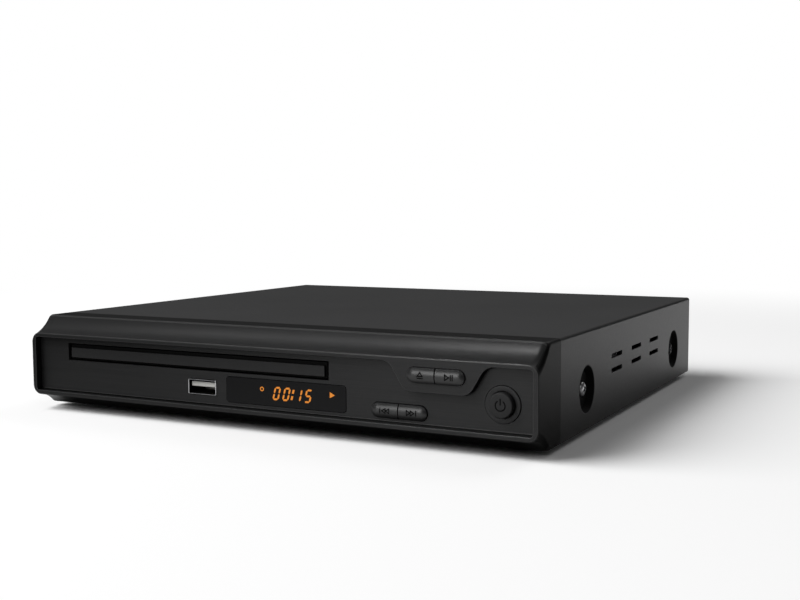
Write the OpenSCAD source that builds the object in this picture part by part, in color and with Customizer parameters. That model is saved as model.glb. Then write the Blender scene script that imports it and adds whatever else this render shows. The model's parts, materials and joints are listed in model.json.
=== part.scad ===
// Compact disc player with a motor-driven tray.
// X runs to the right, Y to the rear and Z up. The origin is on the table,
// under the middle of the player. Depths (d) count back from the face of the front frame.

/* [Case] */
// Width of the case
body_w = 225; // [222:1:250]
// Height of the case without its feet
box_h = 37; // [36.5:0.5:44]
// Depth from the front frame to the rear edge of the cover
body_d = 212.4; // [211:0.2:240]
// Thickness of the folded sheet steel
sheet_t = 0.8; // [0.6:0.1:1]
// Outer radius of the cover's folded edges
fold_r = 1.6; // [1.2:0.2:3]
// How far the cover reaches past the rear wall
overhang = 6.4; // [2:0.2:8]
// Gap between the cover and the chassis, and between the cover and the bezel
cover_gap = 0.1; // [0.1:0.05:0.3]
// Height of the cover's lower edge above the bottom of the chassis
cover_lift = 0.4; // [0:0.1:1]

/* [Feet] */
// Height of the feet
foot_h = 2; // [1.5:0.5:4]
// Radius of a foot
foot_r = 9; // [6:0.5:10]
// Depth of the front feet's centres
front_foot_d = 25.1; // [24.2:0.1:30]
// Distance of the right front foot from the case's side
front_foot_inset = 14.5; // [12:0.5:20]
// Distance of the rear feet's centres from the side and from the rear edge
rear_foot_inset = 22; // [16:1:30]

/* [Bezel] */
// Depth of the bezel, frame included
bezel_d = 21.2; // [21.2:0.2:21.6]
// Depth of the cove between the frame and the case's full height
cove_d = 9.6; // [9:0.2:10.4]
// Wall of the bezel
bezel_wall = 2.2; // [1.8:0.1:2.6]
// Height of the frame's upper edge above the case bottom
frame_top = 30.4; // [30:0.1:31.5]
// Height of the frame's lower edge above the case bottom
frame_bottom = 4.4; // [4:0.1:5]
// Radius of the upper cove
cove_top_r = 19; // [16:1:30]
// Radius of the lower cove
cove_bottom_r = 16; // [14:1:30]
// Radius of the frame's corners, seen from the front
frame_corner_r = 4; // [3:0.25:5]
// Radius of the frame's front edge
frame_edge_r = 0.5; // [0.3:0.1:0.8]
// Width of the frame beside the recess
frame_side = 2.1; // [1.8:0.1:3]
// Width of the frame above the recess
frame_rim = 1.7; // [1.5:0.1:2.2]
// Width of the frame below the recess
frame_sill = 1.8; // [1.5:0.1:2.2]
// Depth of the recess down to the brushed panel
recess_d = 2.6; // [2:0.1:3]
// Thickness of the brushed panel
panel_t = 0.8; // [0.6:0.1:1]
// Dark groove left under the brushed panel
panel_groove = 0.8; // [0.5:0.1:1]
// Distance of the tongue's centre line from the case's right side
tongue_inset = 37.2; // [36:0.2:40]
// Half the width of the tongue at half its height
tongue_half = 15.3; // [15:0.1:16]
// Drop of the tongue below the recess's upper edge
tongue_drop = 10.4; // [10:0.1:10.8]

/* [Buttons and sockets] */
// Length of a button capsule
capsule_w = 21.8; // [20:0.2:22.4]
// Height of a button capsule
capsule_h = 5.3; // [4.8:0.1:5.5]
// How far a capsule stands proud of what carries it
capsule_proud = 1.5; // [1:0.1:2]
// Height of the upper capsule's centre above the case bottom
upper_capsule_z = 24.35; // [24:0.05:24.6]
// Height of the lower capsule's centre above the case bottom
lower_capsule_z = 10.5; // [10.3:0.1:11]
// Distance of the lower capsule's centre from the case's right side
lower_capsule_inset = 52.6; // [51:0.2:54]
// Radius of the power button
power_r = 4.4; // [3.8:0.1:4.6]
// Outer radius of the power button's collar
power_ring_r = 6.45; // [6.2:0.05:6.8]
// Distance of the power button's axis from the case's right side
power_inset = 13.6; // [13:0.2:14.6]
// Height of the power button's axis above the case bottom
power_z = 16; // [15.5:0.1:16.5]
// Travel of every button
button_travel = 0.6; // [0.3:0.1:0.7]
// Clearance round the buttons
button_gap = 0.2; // [0.15:0.05:0.3]
// Width of the display window
window_w = 52.6; // [50:0.2:54]
// Height of the display window
window_h = 9.8; // [9:0.1:10]
// Distance of the window's centre from the case's right side
window_inset = 100.5; // [98:0.5:102]
// Height of the window's centre above the case bottom
window_z = 13.05; // [12.8:0.05:13.2]
// Outer width of the USB socket
usb_w = 13.2; // [12.8:0.1:13.6]
// Outer height of the USB socket
usb_h = 5.8; // [5.6:0.1:6.2]
// Distance of the USB socket's centre from the case's right side
usb_inset = 138.3; // [137:0.1:139]

/* [Vents and dishes] */
// Length of a vent slot
vent_w = 14.3; // [8:0.1:20]
// Height of a vent slot
vent_h = 1.7; // [1:0.1:3]
// Pitch of the vent slots along the side
vent_pitch = 28.3; // [24:0.1:30]
// Pitch of the vent rows
vent_row_pitch = 5.7; // [4:0.1:7]
// Vent slots in a row
vent_columns = 3; // [1:1:3]
// Depth of the first vent slot's centre
vent_first_d = 88.4; // [80:0.2:94]
// Height of the upper vent row above the case bottom
vent_top_z = 23.6; // [20:0.1:27]
// Radius of a pressed dish at the surface
dish_r = 8.75; // [7:0.25:9.5]
// Depth of a dish
dish_depth = 2.4; // [1.6:0.1:2.6]
// Depth of the front dish's centre
dish_front_d = 50.5; // [46:0.5:60]
// Distance between the two dishes of a side
dish_pitch = 130.2; // [126:0.2:134]
// Height of the dishes' centres above the case bottom
dish_z = 15.1; // [14:0.1:18]

/* [Disc and tray] */
// Radius of the disc
disc_r = 60; // [60:0.1:60.2]
// Clearance of the well round the disc
well_gap = 0.7; // [0.4:0.1:0.9]
// Radius of the small disc's well
small_disc_r = 40.6; // [40.4:0.1:41]
// Depth of the disc's centre with the tray closed
disc_d = 68.5; // [68.3:0.1:69]
// Width of the tray
tray_w = 123.6; // [123.4:0.1:124.4]
// Length of the tray behind its door
tray_len = 162.6; // [160:0.2:163]
// Travel of the tray
tray_travel = 130; // [124:1:132]
// Height of the runners' underside above the case bottom
tray_rise = 20; // [19.8:0.1:20.2]
// Height of the runners and of the rack
runner_h = 2.2; // [2:0.1:2.3]
// Thickness of the tray's plate
tray_plate = 1.4; // [1.2:0.1:1.6]
// Depth of the disc well
well_depth = 2; // [1.8:0.1:2.1]
// Depth of the small disc's well below the disc well
small_well = 1.2; // [1:0.1:1.3]
// Distance of the tray's centre line from the case's left side
loader_inset = 80.8; // [79:0.2:82]
// Thickness of the tray door
door_t = 2.7; // [2.2:0.1:2.7]
// Width of the rim round the door's raised face
door_rim = 0.65; // [0.4:0.05:1]
// Depth of that rim behind the face
door_step = 1; // [0.6:0.1:1.4]
// Gap above and below the tray door
door_gap = 0.6; // [0.5:0.05:0.8]
// Gap at each end of the tray door
door_end_gap = 1; // [0.6:0.1:1.4]

/* [Loader gears] */
// Pressure angle of all gears
pressure_angle = 25; // [22:1:27]
// Thinning of each tooth, for running play
backlash = 0.16; // [0.1:0.02:0.24]
// Module of the tray's rack and pinion
rack_module = 1; // [0.9:0.05:1]
// Teeth of the tray's pinion
rack_pinion_teeth = 14; // [12:1:14]
// Module of the reduction gears
wheel_module = 0.7; // [0.6:0.05:0.7]
// Teeth of the large tray gear
wheel_teeth = 45; // [41:2:45]
// Teeth of the pinion on the pulley
pulley_pinion_teeth = 12; // [11:1:13]
// Face width of the reduction gears
wheel_t = 1.7; // [1.4:0.1:1.8]
// Radius of the large pulley
pulley_r = 10.6; // [9:0.2:11]
// Radius of the motor's pulley
motor_pulley_r = 3.2; // [2.6:0.1:3.6]
// Side of the belt's square section
belt_t = 1.1; // [0.9:0.1:1.2]
// Distance between the pulleys
belt_centres = 36; // [32:1:40]
// Radius of the gear posts
post_r = 1.5; // [1.2:0.1:1.8]
// Radial clearance of a running fit
running_gap = 0.05; // [0.03:0.01:0.08]
// Depth of the gear posts
gear_d = 33.5; // [33:0.1:34]

/* [Traverse] */
// Lowering angle of the traverse
drop_angle = 4.2; // [3:0.1:4.4]
// Distance from the disc's centre back to the traverse's pivots
pivot_back = 78; // [77:0.5:79]
// Radius of the turntable
turntable_r = 14.5; // [12:0.5:15]
// Height of the turntable above the well's floor
disc_lift = 0.8; // [0.5:0.1:0.9]
// Radius of the boss that centres the disc
boss_r = 7.3; // [7.2:0.05:7.4]
// Travel of the pickup
sled_travel = 34; // [30:1:34]
// Distance of the lens from the disc's centre at the inner end
lens_inner = 24; // [23.5:0.5:25]
// Radius of the guide rods
rod_r = 1.5; // [1.2:0.1:1.6]
// Sideways travel of the cam slider
cam_travel = 14; // [10:1:14]
// Radius of the cam pin
cam_pin_r = 1.5; // [1.2:0.1:1.8]

/* [Boards] */
// Thickness of the circuit boards
board_t = 1.6; // [1.2:0.2:1.6]
// Height of the standoffs under the boards
standoff_h = 4; // [3:0.5:6]
// Length of the power board
power_board_len = 90; // [80:1:92]
// Depth of the main board
main_board_len = 31; // [29:0.5:31]
// Radius of the small screws' shanks
screw_r = 1.45; // [1.2:0.05:1.6]
// Radius of the screw heads
screw_head_r = 2.75; // [2.4:0.05:2.8]
// Height of the screw heads
screw_head_h = 1.5; // [1.2:0.1:1.6]

/* [Rear sockets] */
// Distance between the RCA jacks
rca_pitch = 14; // [13:0.5:16]
// Outer radius of an RCA barrel
rca_r = 4.15; // [4.1:0.05:4.2]
// Length of an RCA barrel outside the rear wall
rca_len = 8.3; // [8:0.1:9]
// Distance of the SCART socket's centre from the case's left side
scart_inset = 42; // [38:1:46]
// Distance of the mains inlet's centre from the case's right side
inlet_inset = 24.5; // [22:0.5:30]

/* [Hidden] */
$fn = 48;

// Places across and along the case
right_x = body_w / 2;
left_x = -body_w / 2;
loader_x = left_x + loader_inset;
wall_d = body_d - overhang;
rear_reach = wall_d + rca_len - body_d;
front_y = (capsule_proud - body_d - rear_reach) / 2;
tongue_x = right_x - tongue_inset;
lower_capsule_x = right_x - lower_capsule_inset;
power_x = right_x - power_inset;
window_x = right_x - window_inset;
usb_x = right_x - usb_inset;

// Heights of the case
floor_top = foot_h + sheet_t;
case_top = foot_h + box_h;
cover_bottom = foot_h + cover_lift;
window_mid = foot_h + window_z;
upper_capsule_mid = foot_h + upper_capsule_z;
lower_capsule_mid = foot_h + lower_capsule_z;
power_mid = foot_h + power_z;

// Recess of the bezel
recess_half = right_x - frame_side;
recess_top = foot_h + frame_top - frame_rim;
recess_bottom = foot_h + frame_bottom + frame_sill;
recess_floor = recess_d + panel_t;
front_wall_back = recess_floor + bezel_wall;
tongue_slope = 59;
tongue_lower_r = 4.5;
tongue_upper_r = 5;
bezel_floor_end = 15;

// Heights of the tray and of what lies under it
run_z = foot_h + tray_rise;
plate_under = run_z + runner_h;
well_floor = plate_under + tray_plate;
tray_top = well_floor + well_depth;
small_floor = well_floor - small_well;
small_under = small_floor - tray_plate;
disc_z = well_floor + disc_lift;
door_d = recess_d - 0.1;
tray_d0 = door_d + door_t;
tray_d1 = tray_d0 + tray_len;
slot_side = 1;
slot_w = tray_w + 2 * slot_side;
slot_z0 = run_z - 0.6;
slot_z1 = tray_top + 0.9;

// Rails of the loader
rail_gap = 0.4;
rail_wall = 2;
rail_room = 10.8;
rail_half = tray_w / 2 + rail_gap + rail_room;
ledge_top = run_z - 0.2;
ledge_t = 1.6;
ledge_in = tray_w / 2 - 3.4;
hook_z = tray_top + 1;
rail_top = hook_z + 1.4;
frame_floor = floor_top + 0.6;
loader_d0 = bezel_d + 0.4;
loader_d1 = tray_d1 + 4;

// Gear train, from the tray down to the deck
rack_u = tray_w / 2 - 4.9;
rack_r = rack_module * rack_pinion_teeth / 2;
tray_gear_u = rack_u - rack_r;
wheel_r = wheel_module * wheel_teeth / 2;
pulley_pinion_r = wheel_module * pulley_pinion_teeth / 2;
pulley_u = tray_gear_u - wheel_r - pulley_pinion_r;
motor_u = pulley_u - belt_centres;
wheel_z1 = ledge_top - 0.3;
wheel_z0 = wheel_z1 - wheel_t;
pulley_z1 = wheel_z0 - 0.5;
pulley_t = 1.7;
pulley_z0 = pulley_z1 - pulley_t;
deck_top = pulley_z0 - 0.4;
deck_t = 1.8;
deck_z0 = deck_top - deck_t;
deck_d1 = 46.5;
load_motor_r = 12.2;
load_motor_h = deck_z0 - floor_top - 0.3;
addendum = 0.8;
dedendum = 1.15;

// Traverse, from the tray down
pivot_d = disc_d + pivot_back;
plate_z1 = run_z - 4.5;
plate_t = 1;
plate_z0 = plate_z1 - plate_t;
lift_z0 = plate_z0 - 3.5;
lift_z1 = plate_z1 - 0.2;
lift_d0 = disc_d - 14.5;
lift_d1 = pivot_d + 5.5;
lift_half = 51.5;
lift_bar = 5;
pivot_z = lift_z0 + 2.5;
pivot_r = 2;
damper_u = 42;
damper_front_d = lift_d0 + 9.5;
damper_rear_d = lift_d1 - 9;
rod_z = plate_z1 + 2.6;
left_rod_u = -27;
right_rod_u = 25;
rod_d0 = disc_d + 9.5;
rod_d1 = pivot_d - 1;
holder_len = 3.5;
lens_d = disc_d + lens_inner;
lens_top = disc_z - 1.5;
sled_module = 0.5;
sled_teeth = 12;
sled_wheel_module = 0.4;
sled_wheel_teeth = 30;
sled_pinion_teeth = 10;
sled_rack_u = -35;
sled_gear_u = sled_rack_u - sled_module * sled_teeth / 2;
sled_gear_d = lens_d + 9;
sled_motor_d = sled_gear_d - sled_wheel_module * (sled_wheel_teeth + sled_pinion_teeth) / 2;
sled_shaft_r = 0.75;
sled_wheel_z0 = plate_z1 + 0.2;
sled_wheel_z1 = sled_wheel_z0 + 0.8;
sled_rack_z0 = sled_wheel_z1 + 0.3;
sled_rack_z1 = sled_rack_z0 + 1.5;

// Cam slider in front of the traverse
cam_d0 = lift_d0 - 4.4;
cam_t = 2.2;
cam_pin_u = 2;
cam_pin_len = 4.8;
cam_lever = pivot_d - cam_d0 - cam_t / 2;
cam_drop = cam_lever * sin(drop_angle);
cam_foot_t = 1.6;
cam_rail_z = frame_floor + 1.2;
cam_slot_gap = 0.3;

// Clamper over the disc
bridge_z = rail_top;
bridge_t = 1.2;
puck_r = 12.5;
puck_z0 = tray_top + 0.4;
puck_flange_z = bridge_z + bridge_t + 0.1;
magnet_r = 6;

// Boards and what stands on them
board_z0 = floor_top + standoff_h;
board_z1 = board_z0 + board_t;
main_d1 = wall_d - 1.4;
main_d0 = main_d1 - main_board_len;
main_x0 = left_x + 13;
supply_x0 = loader_x + rail_half + 6.7;
supply_x1 = right_x - 6.5;
supply_d1 = main_d0 - 5.5;
supply_d0 = supply_d1 - power_board_len;
standoff_r = 2.6;
snug_gap = 0.05;
pilot_r = screw_r + snug_gap;
front_board_d = 13;
switch_h = 3.5;
stem_h = 1.3;
stem_tip_d = front_board_d - switch_h - stem_h;

// Rear sockets
rca_x = 6;
rca_z = foot_h + 14;
rca_collar_r = 5.4;
rca_places = [for (i = [-1:1]) rca_x + i * rca_pitch];
rca_screw_rise = 4.6;
hdmi_x = -26;
hdmi_z = board_z1 + 3;
scart_x = left_x + scart_inset;
scart_z = board_z1 + 7;
scart_w = 43;
scart_h = 13.6;
scart_screw_x = 25.2;
inlet_x = right_x - inlet_inset;
inlet_z = foot_h + 14;
main_x1 = inlet_x - 24;
pin_half = 4.3;
inlet_screw_x = 14;

// ---------------------------------------------------------------- outlines

function unit(v) = v / norm(v);

// Points of the arc that rounds corner b of the path a-b-c with radius r
function corner_arc(a, b, c, r, steps) =
  r == 0 ? [b] :
  let (
    u = unit(a - b),
    v = unit(c - b),
    half = acos(u * v) / 2,
    centre = b + unit(u + v) * r / sin(half),
    p0 = b + u * r / tan(half) - centre,
    p1 = b + v * r / tan(half) - centre,
    a0 = atan2(p0.y, p0.x),
    swing = atan2(p1.y, p1.x) - a0,
    turn = swing > 180 ? swing - 360 : swing < -180 ? swing + 360 : swing
  )
  [for (i = [0:steps]) centre + r * [cos(a0 + turn * i / steps), sin(a0 + turn * i / steps)]];

// Outline with its corners rounded; radii is one number or one for each corner
function rounded(points, radii, steps = 6) =
  let (n = len(points))
  [for (i = [0:n - 1]) each corner_arc(points[(i + n - 1) % n], points[i], points[(i + 1) % n],
    is_list(radii) ? radii[i] : radii, steps)];

function rectangle(x0, x1, y0, y1) = [[x0, y0], [x1, y0], [x1, y1], [x0, y1]];

// Rounded rectangle of width w and height h round the point m
function tablet(m, w, h, r, steps = 3) =
  rounded(rectangle(m.x - w / 2, m.x + w / 2, m.y - h / 2, m.y + h / 2), r, steps);

module block(x0, x1, d0, d1, z0, z1) {
  translate([x0, d0, z0]) cube([x1 - x0, d1 - d0, z1 - z0]);
}

// Extrudes an outline drawn in X and Z from depth d0 to depth d1
module facing(d0, d1) {
  translate([0, d1, 0]) rotate([90, 0, 0]) linear_extrude(d1 - d0) children();
}

// Extrudes an outline drawn in depth and Z from x0 to x1
module along_x(x0, x1) {
  translate([x0, 0, 0]) rotate([90, 0, 90]) linear_extrude(x1 - x0) children();
}

module post_y(r, d0, d1, x, z) {
  translate([x, d1, z]) rotate([90, 0, 0]) cylinder(r = r, h = d1 - d0);
}

module post_x(r, x0, x1, d, z) {
  translate([x0, d, z]) rotate([0, 90, 0]) cylinder(r = r, h = x1 - x0);
}

module post_z(r, x, d, z0, z1) {
  translate([x, d, z0]) cylinder(r = r, h = z1 - z0);
}

// Flat plate with rounded corners
module slab(x0, x1, d0, d1, z0, z1, r, steps = 6) {
  translate([0, 0, z0]) linear_extrude(z1 - z0) polygon(rounded(rectangle(x0, x1, d0, d1), r, steps));
}

// Profile of radii and heights, turned round the upright axis at x and d
module turned(x, d, profile) {
  translate([x, d, 0]) rotate_extrude() polygon(profile);
}

// Draws its children twice, the second time mirrored in X
module both_sides() {
  for (side = [-1, 1]) scale([side, 1, 1]) children();
}

// Pan-head screw standing on a surface at z, its shank pointing down
module screw(x, d, z, len) {
  shoulder = screw_head_h * 0.6;
  translate([x, d, z]) {
    turned(0, 0, [[0, 0], [screw_head_r, 0], [screw_head_r, shoulder],
      [screw_head_r * 0.6, screw_head_h], [0, screw_head_h]]);
    post_z(screw_r, 0, 0, -len, 0);
  }
}

module in_case() {
  translate([0, front_y, 0]) children();
}

module in_loader() {
  translate([loader_x, front_y, 0]) children();
}

// ---------------------------------------------------------------- gears

function involute(a) = tan(a) * 180 / PI - a;

// Half the angle of a tooth at radius r
function tooth_half(teeth, m, r) =
  let (
    pitch_r = teeth * m / 2,
    base_r = pitch_r * cos(pressure_angle),
    play = backlash / 2 / pitch_r * 180 / PI
  )
  90 / teeth - play + involute(pressure_angle) - (r > base_r ? involute(acos(base_r / r)) : 0);

function gear_outline(teeth, m) =
  let (
    pitch_r = teeth * m / 2,
    radii = [pitch_r - dedendum * m, pitch_r - 0.5 * m, pitch_r, pitch_r + addendum * m]
  )
  [for (k = [0:teeth - 1], side = [-1, 1], i = side < 0 ? [0:3] : [3:-1:0])
    let (r = radii[i], a = 360 * k / teeth + side * tooth_half(teeth, m, r))
    r * [cos(a), sin(a)]];

// Gear with a tooth towards +X, turned by a share of its tooth pitch
module gear(teeth, m, z0, z1, turn = 0) {
  translate([0, 0, z0]) rotate(turn * 360 / teeth) linear_extrude(z1 - z0)
    polygon(gear_outline(teeth, m));
}

// Rack teeth towards -X, with a tooth centred at each place
module rack(m, pitch_u, back_u, centres, z0, z1) {
  step = PI * m;
  half = step / 4 - backlash / 2;
  tip = half - addendum * m * tan(pressure_angle);
  root = half + dedendum * m * tan(pressure_angle);
  tip_u = pitch_u - addendum * m;
  root_u = pitch_u + dedendum * m;
  outline = concat(
    [[back_u, centres[0] - step / 2]],
    [for (c = centres) each [[root_u, c - root], [tip_u, c - tip], [tip_u, c + tip], [root_u, c + root]]],
    [[back_u, centres[len(centres) - 1] + step / 2]]
  );
  translate([0, 0, z0]) linear_extrude(z1 - z0) polygon(outline);
}

// ---------------------------------------------------------------- bezel

// Centre of the circle of radius r through p and q, to the left of the way from p to q
function circle_centre(p, q, r) =
  let (half = (q - p) / 2)
  p + half + [-half.y, half.x] / norm(half) * sqrt(r * r - half * half);

// Height of the bezel's upper and lower surface at depth d
function bezel_top(d) =
  let (c = circle_centre([frame_edge_r, foot_h + frame_top], [cove_d, case_top], cove_top_r))
  d >= cove_d ? case_top : c.y - sqrt(pow(cove_top_r, 2) - pow(d - c.x, 2));
function bezel_bottom(d) =
  let (c = circle_centre([cove_d, foot_h], [frame_edge_r, foot_h + frame_bottom], cove_bottom_r))
  d >= cove_d ? foot_h : c.y + sqrt(pow(cove_bottom_r, 2) - pow(d - c.x, 2));

// Ring of points round the bezel at one depth
function bezel_ring(d, r, inset = 0) =
  let (
    half = right_x - inset,
    z0 = bezel_bottom(max(d, frame_edge_r)) + inset,
    z1 = bezel_top(max(d, frame_edge_r)) - inset
  )
  [for (p = rounded(rectangle(-half, half, z0, z1), r)) [p.x, d, p.y]];

// Closed solid through rings of equal length
module loft(rings) {
  n = len(rings[0]);
  last = len(rings) - 1;
  sides = [for (k = [0:last - 1], i = [0:n - 1]) let (j = (i + 1) % n)
    each [[k * n + i, k * n + j, (k + 1) * n + j], [k * n + i, (k + 1) * n + j, (k + 1) * n + i]]];
  caps = [[for (i = [n - 1:-1:0]) i], [for (i = [0:n - 1]) last * n + i]];
  polyhedron([for (ring = rings) each ring], concat(sides, caps));
}

// Solid of the bezel's outer form: frame, coves and full-height collar
module bezel_form() {
  cove_steps = 6;
  cove_corner_r = fold_r + 1.4;
  edge_rings = [for (a = [90, 45])
    let (inset = frame_edge_r * (1 - cos(a)))
    bezel_ring(frame_edge_r * (1 - sin(a)), frame_corner_r - inset, inset)];
  cove_rings = [for (i = [0:cove_steps])
    let (t = i / cove_steps, r = frame_corner_r + (cove_corner_r - frame_corner_r) * t)
    bezel_ring(frame_edge_r + (cove_d - frame_edge_r) * t, r)];
  collar_rings = [bezel_ring(cove_d + 1.6, fold_r), bezel_ring(bezel_d, fold_r)];
  loft(concat(edge_rings, cove_rings, collar_rings));
}

// Outline of the frame's recess, less a gap, with the tongue cut out of its upper edge
module recess_outline(gap, bottom) {
  rise = tongue_drop / 2 / tan(tongue_slope);
  top_half = tongue_half + rise;
  low_half = tongue_half - rise;
  z1 = recess_top - gap;
  low = recess_top - tongue_drop - gap;
  shift = gap / sin(tongue_slope) - gap / tan(tongue_slope);
  points = [[-recess_half + gap, bottom], [recess_half - gap, bottom], [recess_half - gap, z1],
    [tongue_x + top_half + shift, z1], [tongue_x + low_half + shift, low],
    [tongue_x - low_half - shift, low], [tongue_x - top_half - shift, z1], [-recess_half + gap, z1]];
  radii = [1.2, 1.2, 1.2, tongue_upper_r, tongue_lower_r, tongue_lower_r, tongue_upper_r, 1.2];
  polygon(rounded(points, radii));
}

// Outline of a button capsule, or of its hole
module capsule_outline(x, z, grow) {
  half_h = capsule_h / 2 + grow;
  reach = capsule_w / 2 - capsule_h / 2;
  translate([x - reach, z]) circle(r = half_h);
  translate([x + reach, z]) circle(r = half_h);
  translate([x - reach, z - half_h]) square([2 * reach, 2 * half_h]);
}

module window_outline(grow) {
  polygon(tablet([window_x, window_mid], window_w + 2 * grow, window_h + 2 * grow, 1.2, 6));
}

module usb_outline(grow) {
  polygon(tablet([usb_x, window_mid], usb_w + 2 * grow, usb_h + 2 * grow, 0.5));
}

module slot_outline(grow = 0) {
  x0 = loader_x - slot_w / 2 - grow;
  polygon(rectangle(x0, x0 + slot_w + 2 * grow, slot_z0 - grow, slot_z1 + grow));
}

front_board_posts = [
  [usb_x - usb_w / 2 - 4.6, foot_h + 7],
  [(window_x + window_w / 2 + lower_capsule_x - capsule_w / 2) / 2, foot_h + 15.6],
  [(lower_capsule_x + capsule_w / 2 + power_x - power_ring_r) / 2, foot_h + 9],
  [tongue_x - tongue_half - 3, foot_h + 24]
];

module front_bezel() {
  inner_half = right_x - bezel_wall;
  inner_top = case_top - bezel_wall;
  inner_floor = foot_h + bezel_wall;
  lip_half = right_x - sheet_t - cover_gap;
  lip_top = case_top - sheet_t - cover_gap;
  lip_d = bezel_d + 3;
  sleeve_wall = 1.2;
  color("#262626") in_case() {
    difference() {
      union() {
        bezel_form();
        // Lip that the cover slides over
        facing(bezel_d - 1, lip_d)
          polygon(rounded(rectangle(-lip_half, lip_half, floor_top + 6, lip_top), [0, 0, 1, 1], 3));
      }
      // Hollow behind the front wall
      along_x(-inner_half, inner_half) polygon([
        [front_wall_back, foot_h + frame_bottom + bezel_wall],
        [front_wall_back, foot_h + frame_top - bezel_wall],
        [cove_d + 1.8, inner_top], [lip_d + 1, inner_top],
        [lip_d + 1, inner_floor], [cove_d - 0.4, inner_floor]
      ]);
      // Open bottom where the chassis comes forward
      block(-inner_half, inner_half, bezel_floor_end, bezel_d + 1, foot_h - 1, inner_floor + 1);
      facing(-1, recess_floor) recess_outline(0, recess_bottom);
      facing(-1, cove_d) {
        slot_outline();
        capsule_outline(tongue_x, upper_capsule_mid, button_gap);
        capsule_outline(lower_capsule_x, lower_capsule_mid, button_gap);
        window_outline(-1.2);
        usb_outline(button_gap);
      }
      post_y(power_ring_r + snug_gap, -1, cove_d, power_x, power_mid);
      facing(recess_floor - 1, recess_floor + 1.4) window_outline(-0.3);
    }
    // Sleeve round the tray's slot
    difference() {
      facing(front_wall_back - 0.5, cove_d) slot_outline(sleeve_wall);
      facing(-1, cove_d + 1) slot_outline();
    }
    // Posts that carry the front board
    for (p = front_board_posts) difference() {
      post_y(2.4, front_wall_back - 0.5, front_board_d, p.x, p.y);
      post_y(pilot_r, front_wall_back + 1, front_board_d + 1, p.x, p.y);
    }
  }
}

module front_panel() {
  gap = 0.3;
  color("#3a3a3a") in_case() difference() {
    facing(recess_d, recess_floor) recess_outline(gap, recess_bottom + panel_groove);
    facing(0, recess_floor + 1) {
      slot_outline();
      capsule_outline(lower_capsule_x, lower_capsule_mid, button_gap);
      window_outline(0.15);
      usb_outline(button_gap);
    }
    post_y(power_ring_r + snug_gap, 0, recess_floor + 1, power_x, power_mid);
  }
}

module display_window() {
  color("#101014") in_case() {
    facing(recess_d - 0.1, recess_floor) window_outline(0);
    facing(recess_floor, recess_floor + 1.3) window_outline(-0.4);
  }
}

// ---------------------------------------------------------------- buttons

flange_d = front_wall_back + 0.15;
flange_t = 1.2;
plunger_d = stem_tip_d - button_travel - 0.05;

// Crowned profile of a capsule, from its centre line out to its edge
module crown_outline(face_d, base_d) {
  half = capsule_h / 2;
  crown = 0.9;
  r = (half * half + crown * crown) / 2 / crown;
  intersection() {
    translate([0, -base_d]) square([half, base_d - face_d]);
    translate([0, -face_d - r]) circle(r = r, $fn = 96);
  }
}

// One end of a capsule: side is 1 for the right half and -1 for the left half
module capsule_button(x, z, face_d, side) {
  reach = capsule_w / 2 - capsule_h / 2;
  split = 0.15;
  flange_half = capsule_h / 2 + 0.9;
  color("#303030") in_case() translate([x, 0, z]) scale([side, 1, 1]) {
    // Rounded end, turned about the end's own axis
    intersection() {
      translate([reach, 0, 0]) rotate([90, 0, 0]) rotate_extrude()
        crown_outline(face_d, flange_d + 0.2);
      block(reach, reach + capsule_h, face_d - 1, flange_d + 1, -capsule_h, capsule_h);
    }
    // Straight stretch up to the split
    for (flip = [0, 1]) mirror([0, 0, flip])
      translate([split, 0, 0]) rotate([0, 90, 0]) rotate([0, 0, 90]) linear_extrude(reach - split)
        rotate(180) mirror([1, 0]) rotate(90) crown_outline(face_d, flange_d + 0.2);
    block(split, capsule_w / 2 + 0.9, flange_d, flange_d + flange_t, -flange_half, flange_half);
    post_y(1.5, flange_d, plunger_d, capsule_w / 4, 0);
  }
}

module eject_button() {
  capsule_button(tongue_x, upper_capsule_mid, -capsule_proud, -1);
}

module play_button() {
  capsule_button(tongue_x, upper_capsule_mid, -capsule_proud, 1);
}

module previous_button() {
  capsule_button(lower_capsule_x, lower_capsule_mid, recess_d - capsule_proud, -1);
}

module next_button() {
  capsule_button(lower_capsule_x, lower_capsule_mid, recess_d - capsule_proud, 1);
}

ring_flange_d = front_wall_back + 0.1;
ring_flange_t = 0.8;

module power_ring() {
  proud = 0.5;
  color("#343434") in_case() difference() {
    union() {
      post_y(power_ring_r, recess_d - proud, ring_flange_d + 0.1, power_x, power_mid);
      post_y(power_ring_r + 0.9, ring_flange_d, ring_flange_d + ring_flange_t, power_x, power_mid);
    }
    post_y(power_r + button_gap, -1, ring_flange_d + 2, power_x, power_mid);
  }
}

module power_button() {
  edge = 0.5;
  face = 0.1;
  back = ring_flange_d + ring_flange_t + 0.1;
  flange_r = power_r + 1;
  stem_r = 1.5;
  profile = concat(
    [[0, -face]],
    [for (a = [90:-18:0]) [power_r - edge + edge * cos(a), -face - edge + edge * sin(a)]],
    [[power_r, -back], [flange_r, -back], [flange_r, -back - 0.4], [stem_r, -back - 0.4],
      [stem_r, -plunger_d], [0, -plunger_d]]
  );
  color("#303030") in_case() translate([power_x, 0, power_mid]) rotate([90, 0, 0])
    rotate_extrude() polygon(profile);
}

// ---------------------------------------------------------------- front electronics

board_left = usb_x - usb_w / 2 - 8;
board_right = right_x - 5;
key_places = [
  [tongue_x - capsule_w / 4, upper_capsule_mid],
  [tongue_x + capsule_w / 4, upper_capsule_mid],
  [lower_capsule_x - capsule_w / 4, lower_capsule_mid],
  [lower_capsule_x + capsule_w / 4, lower_capsule_mid],
  [power_x, power_mid]
];

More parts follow.
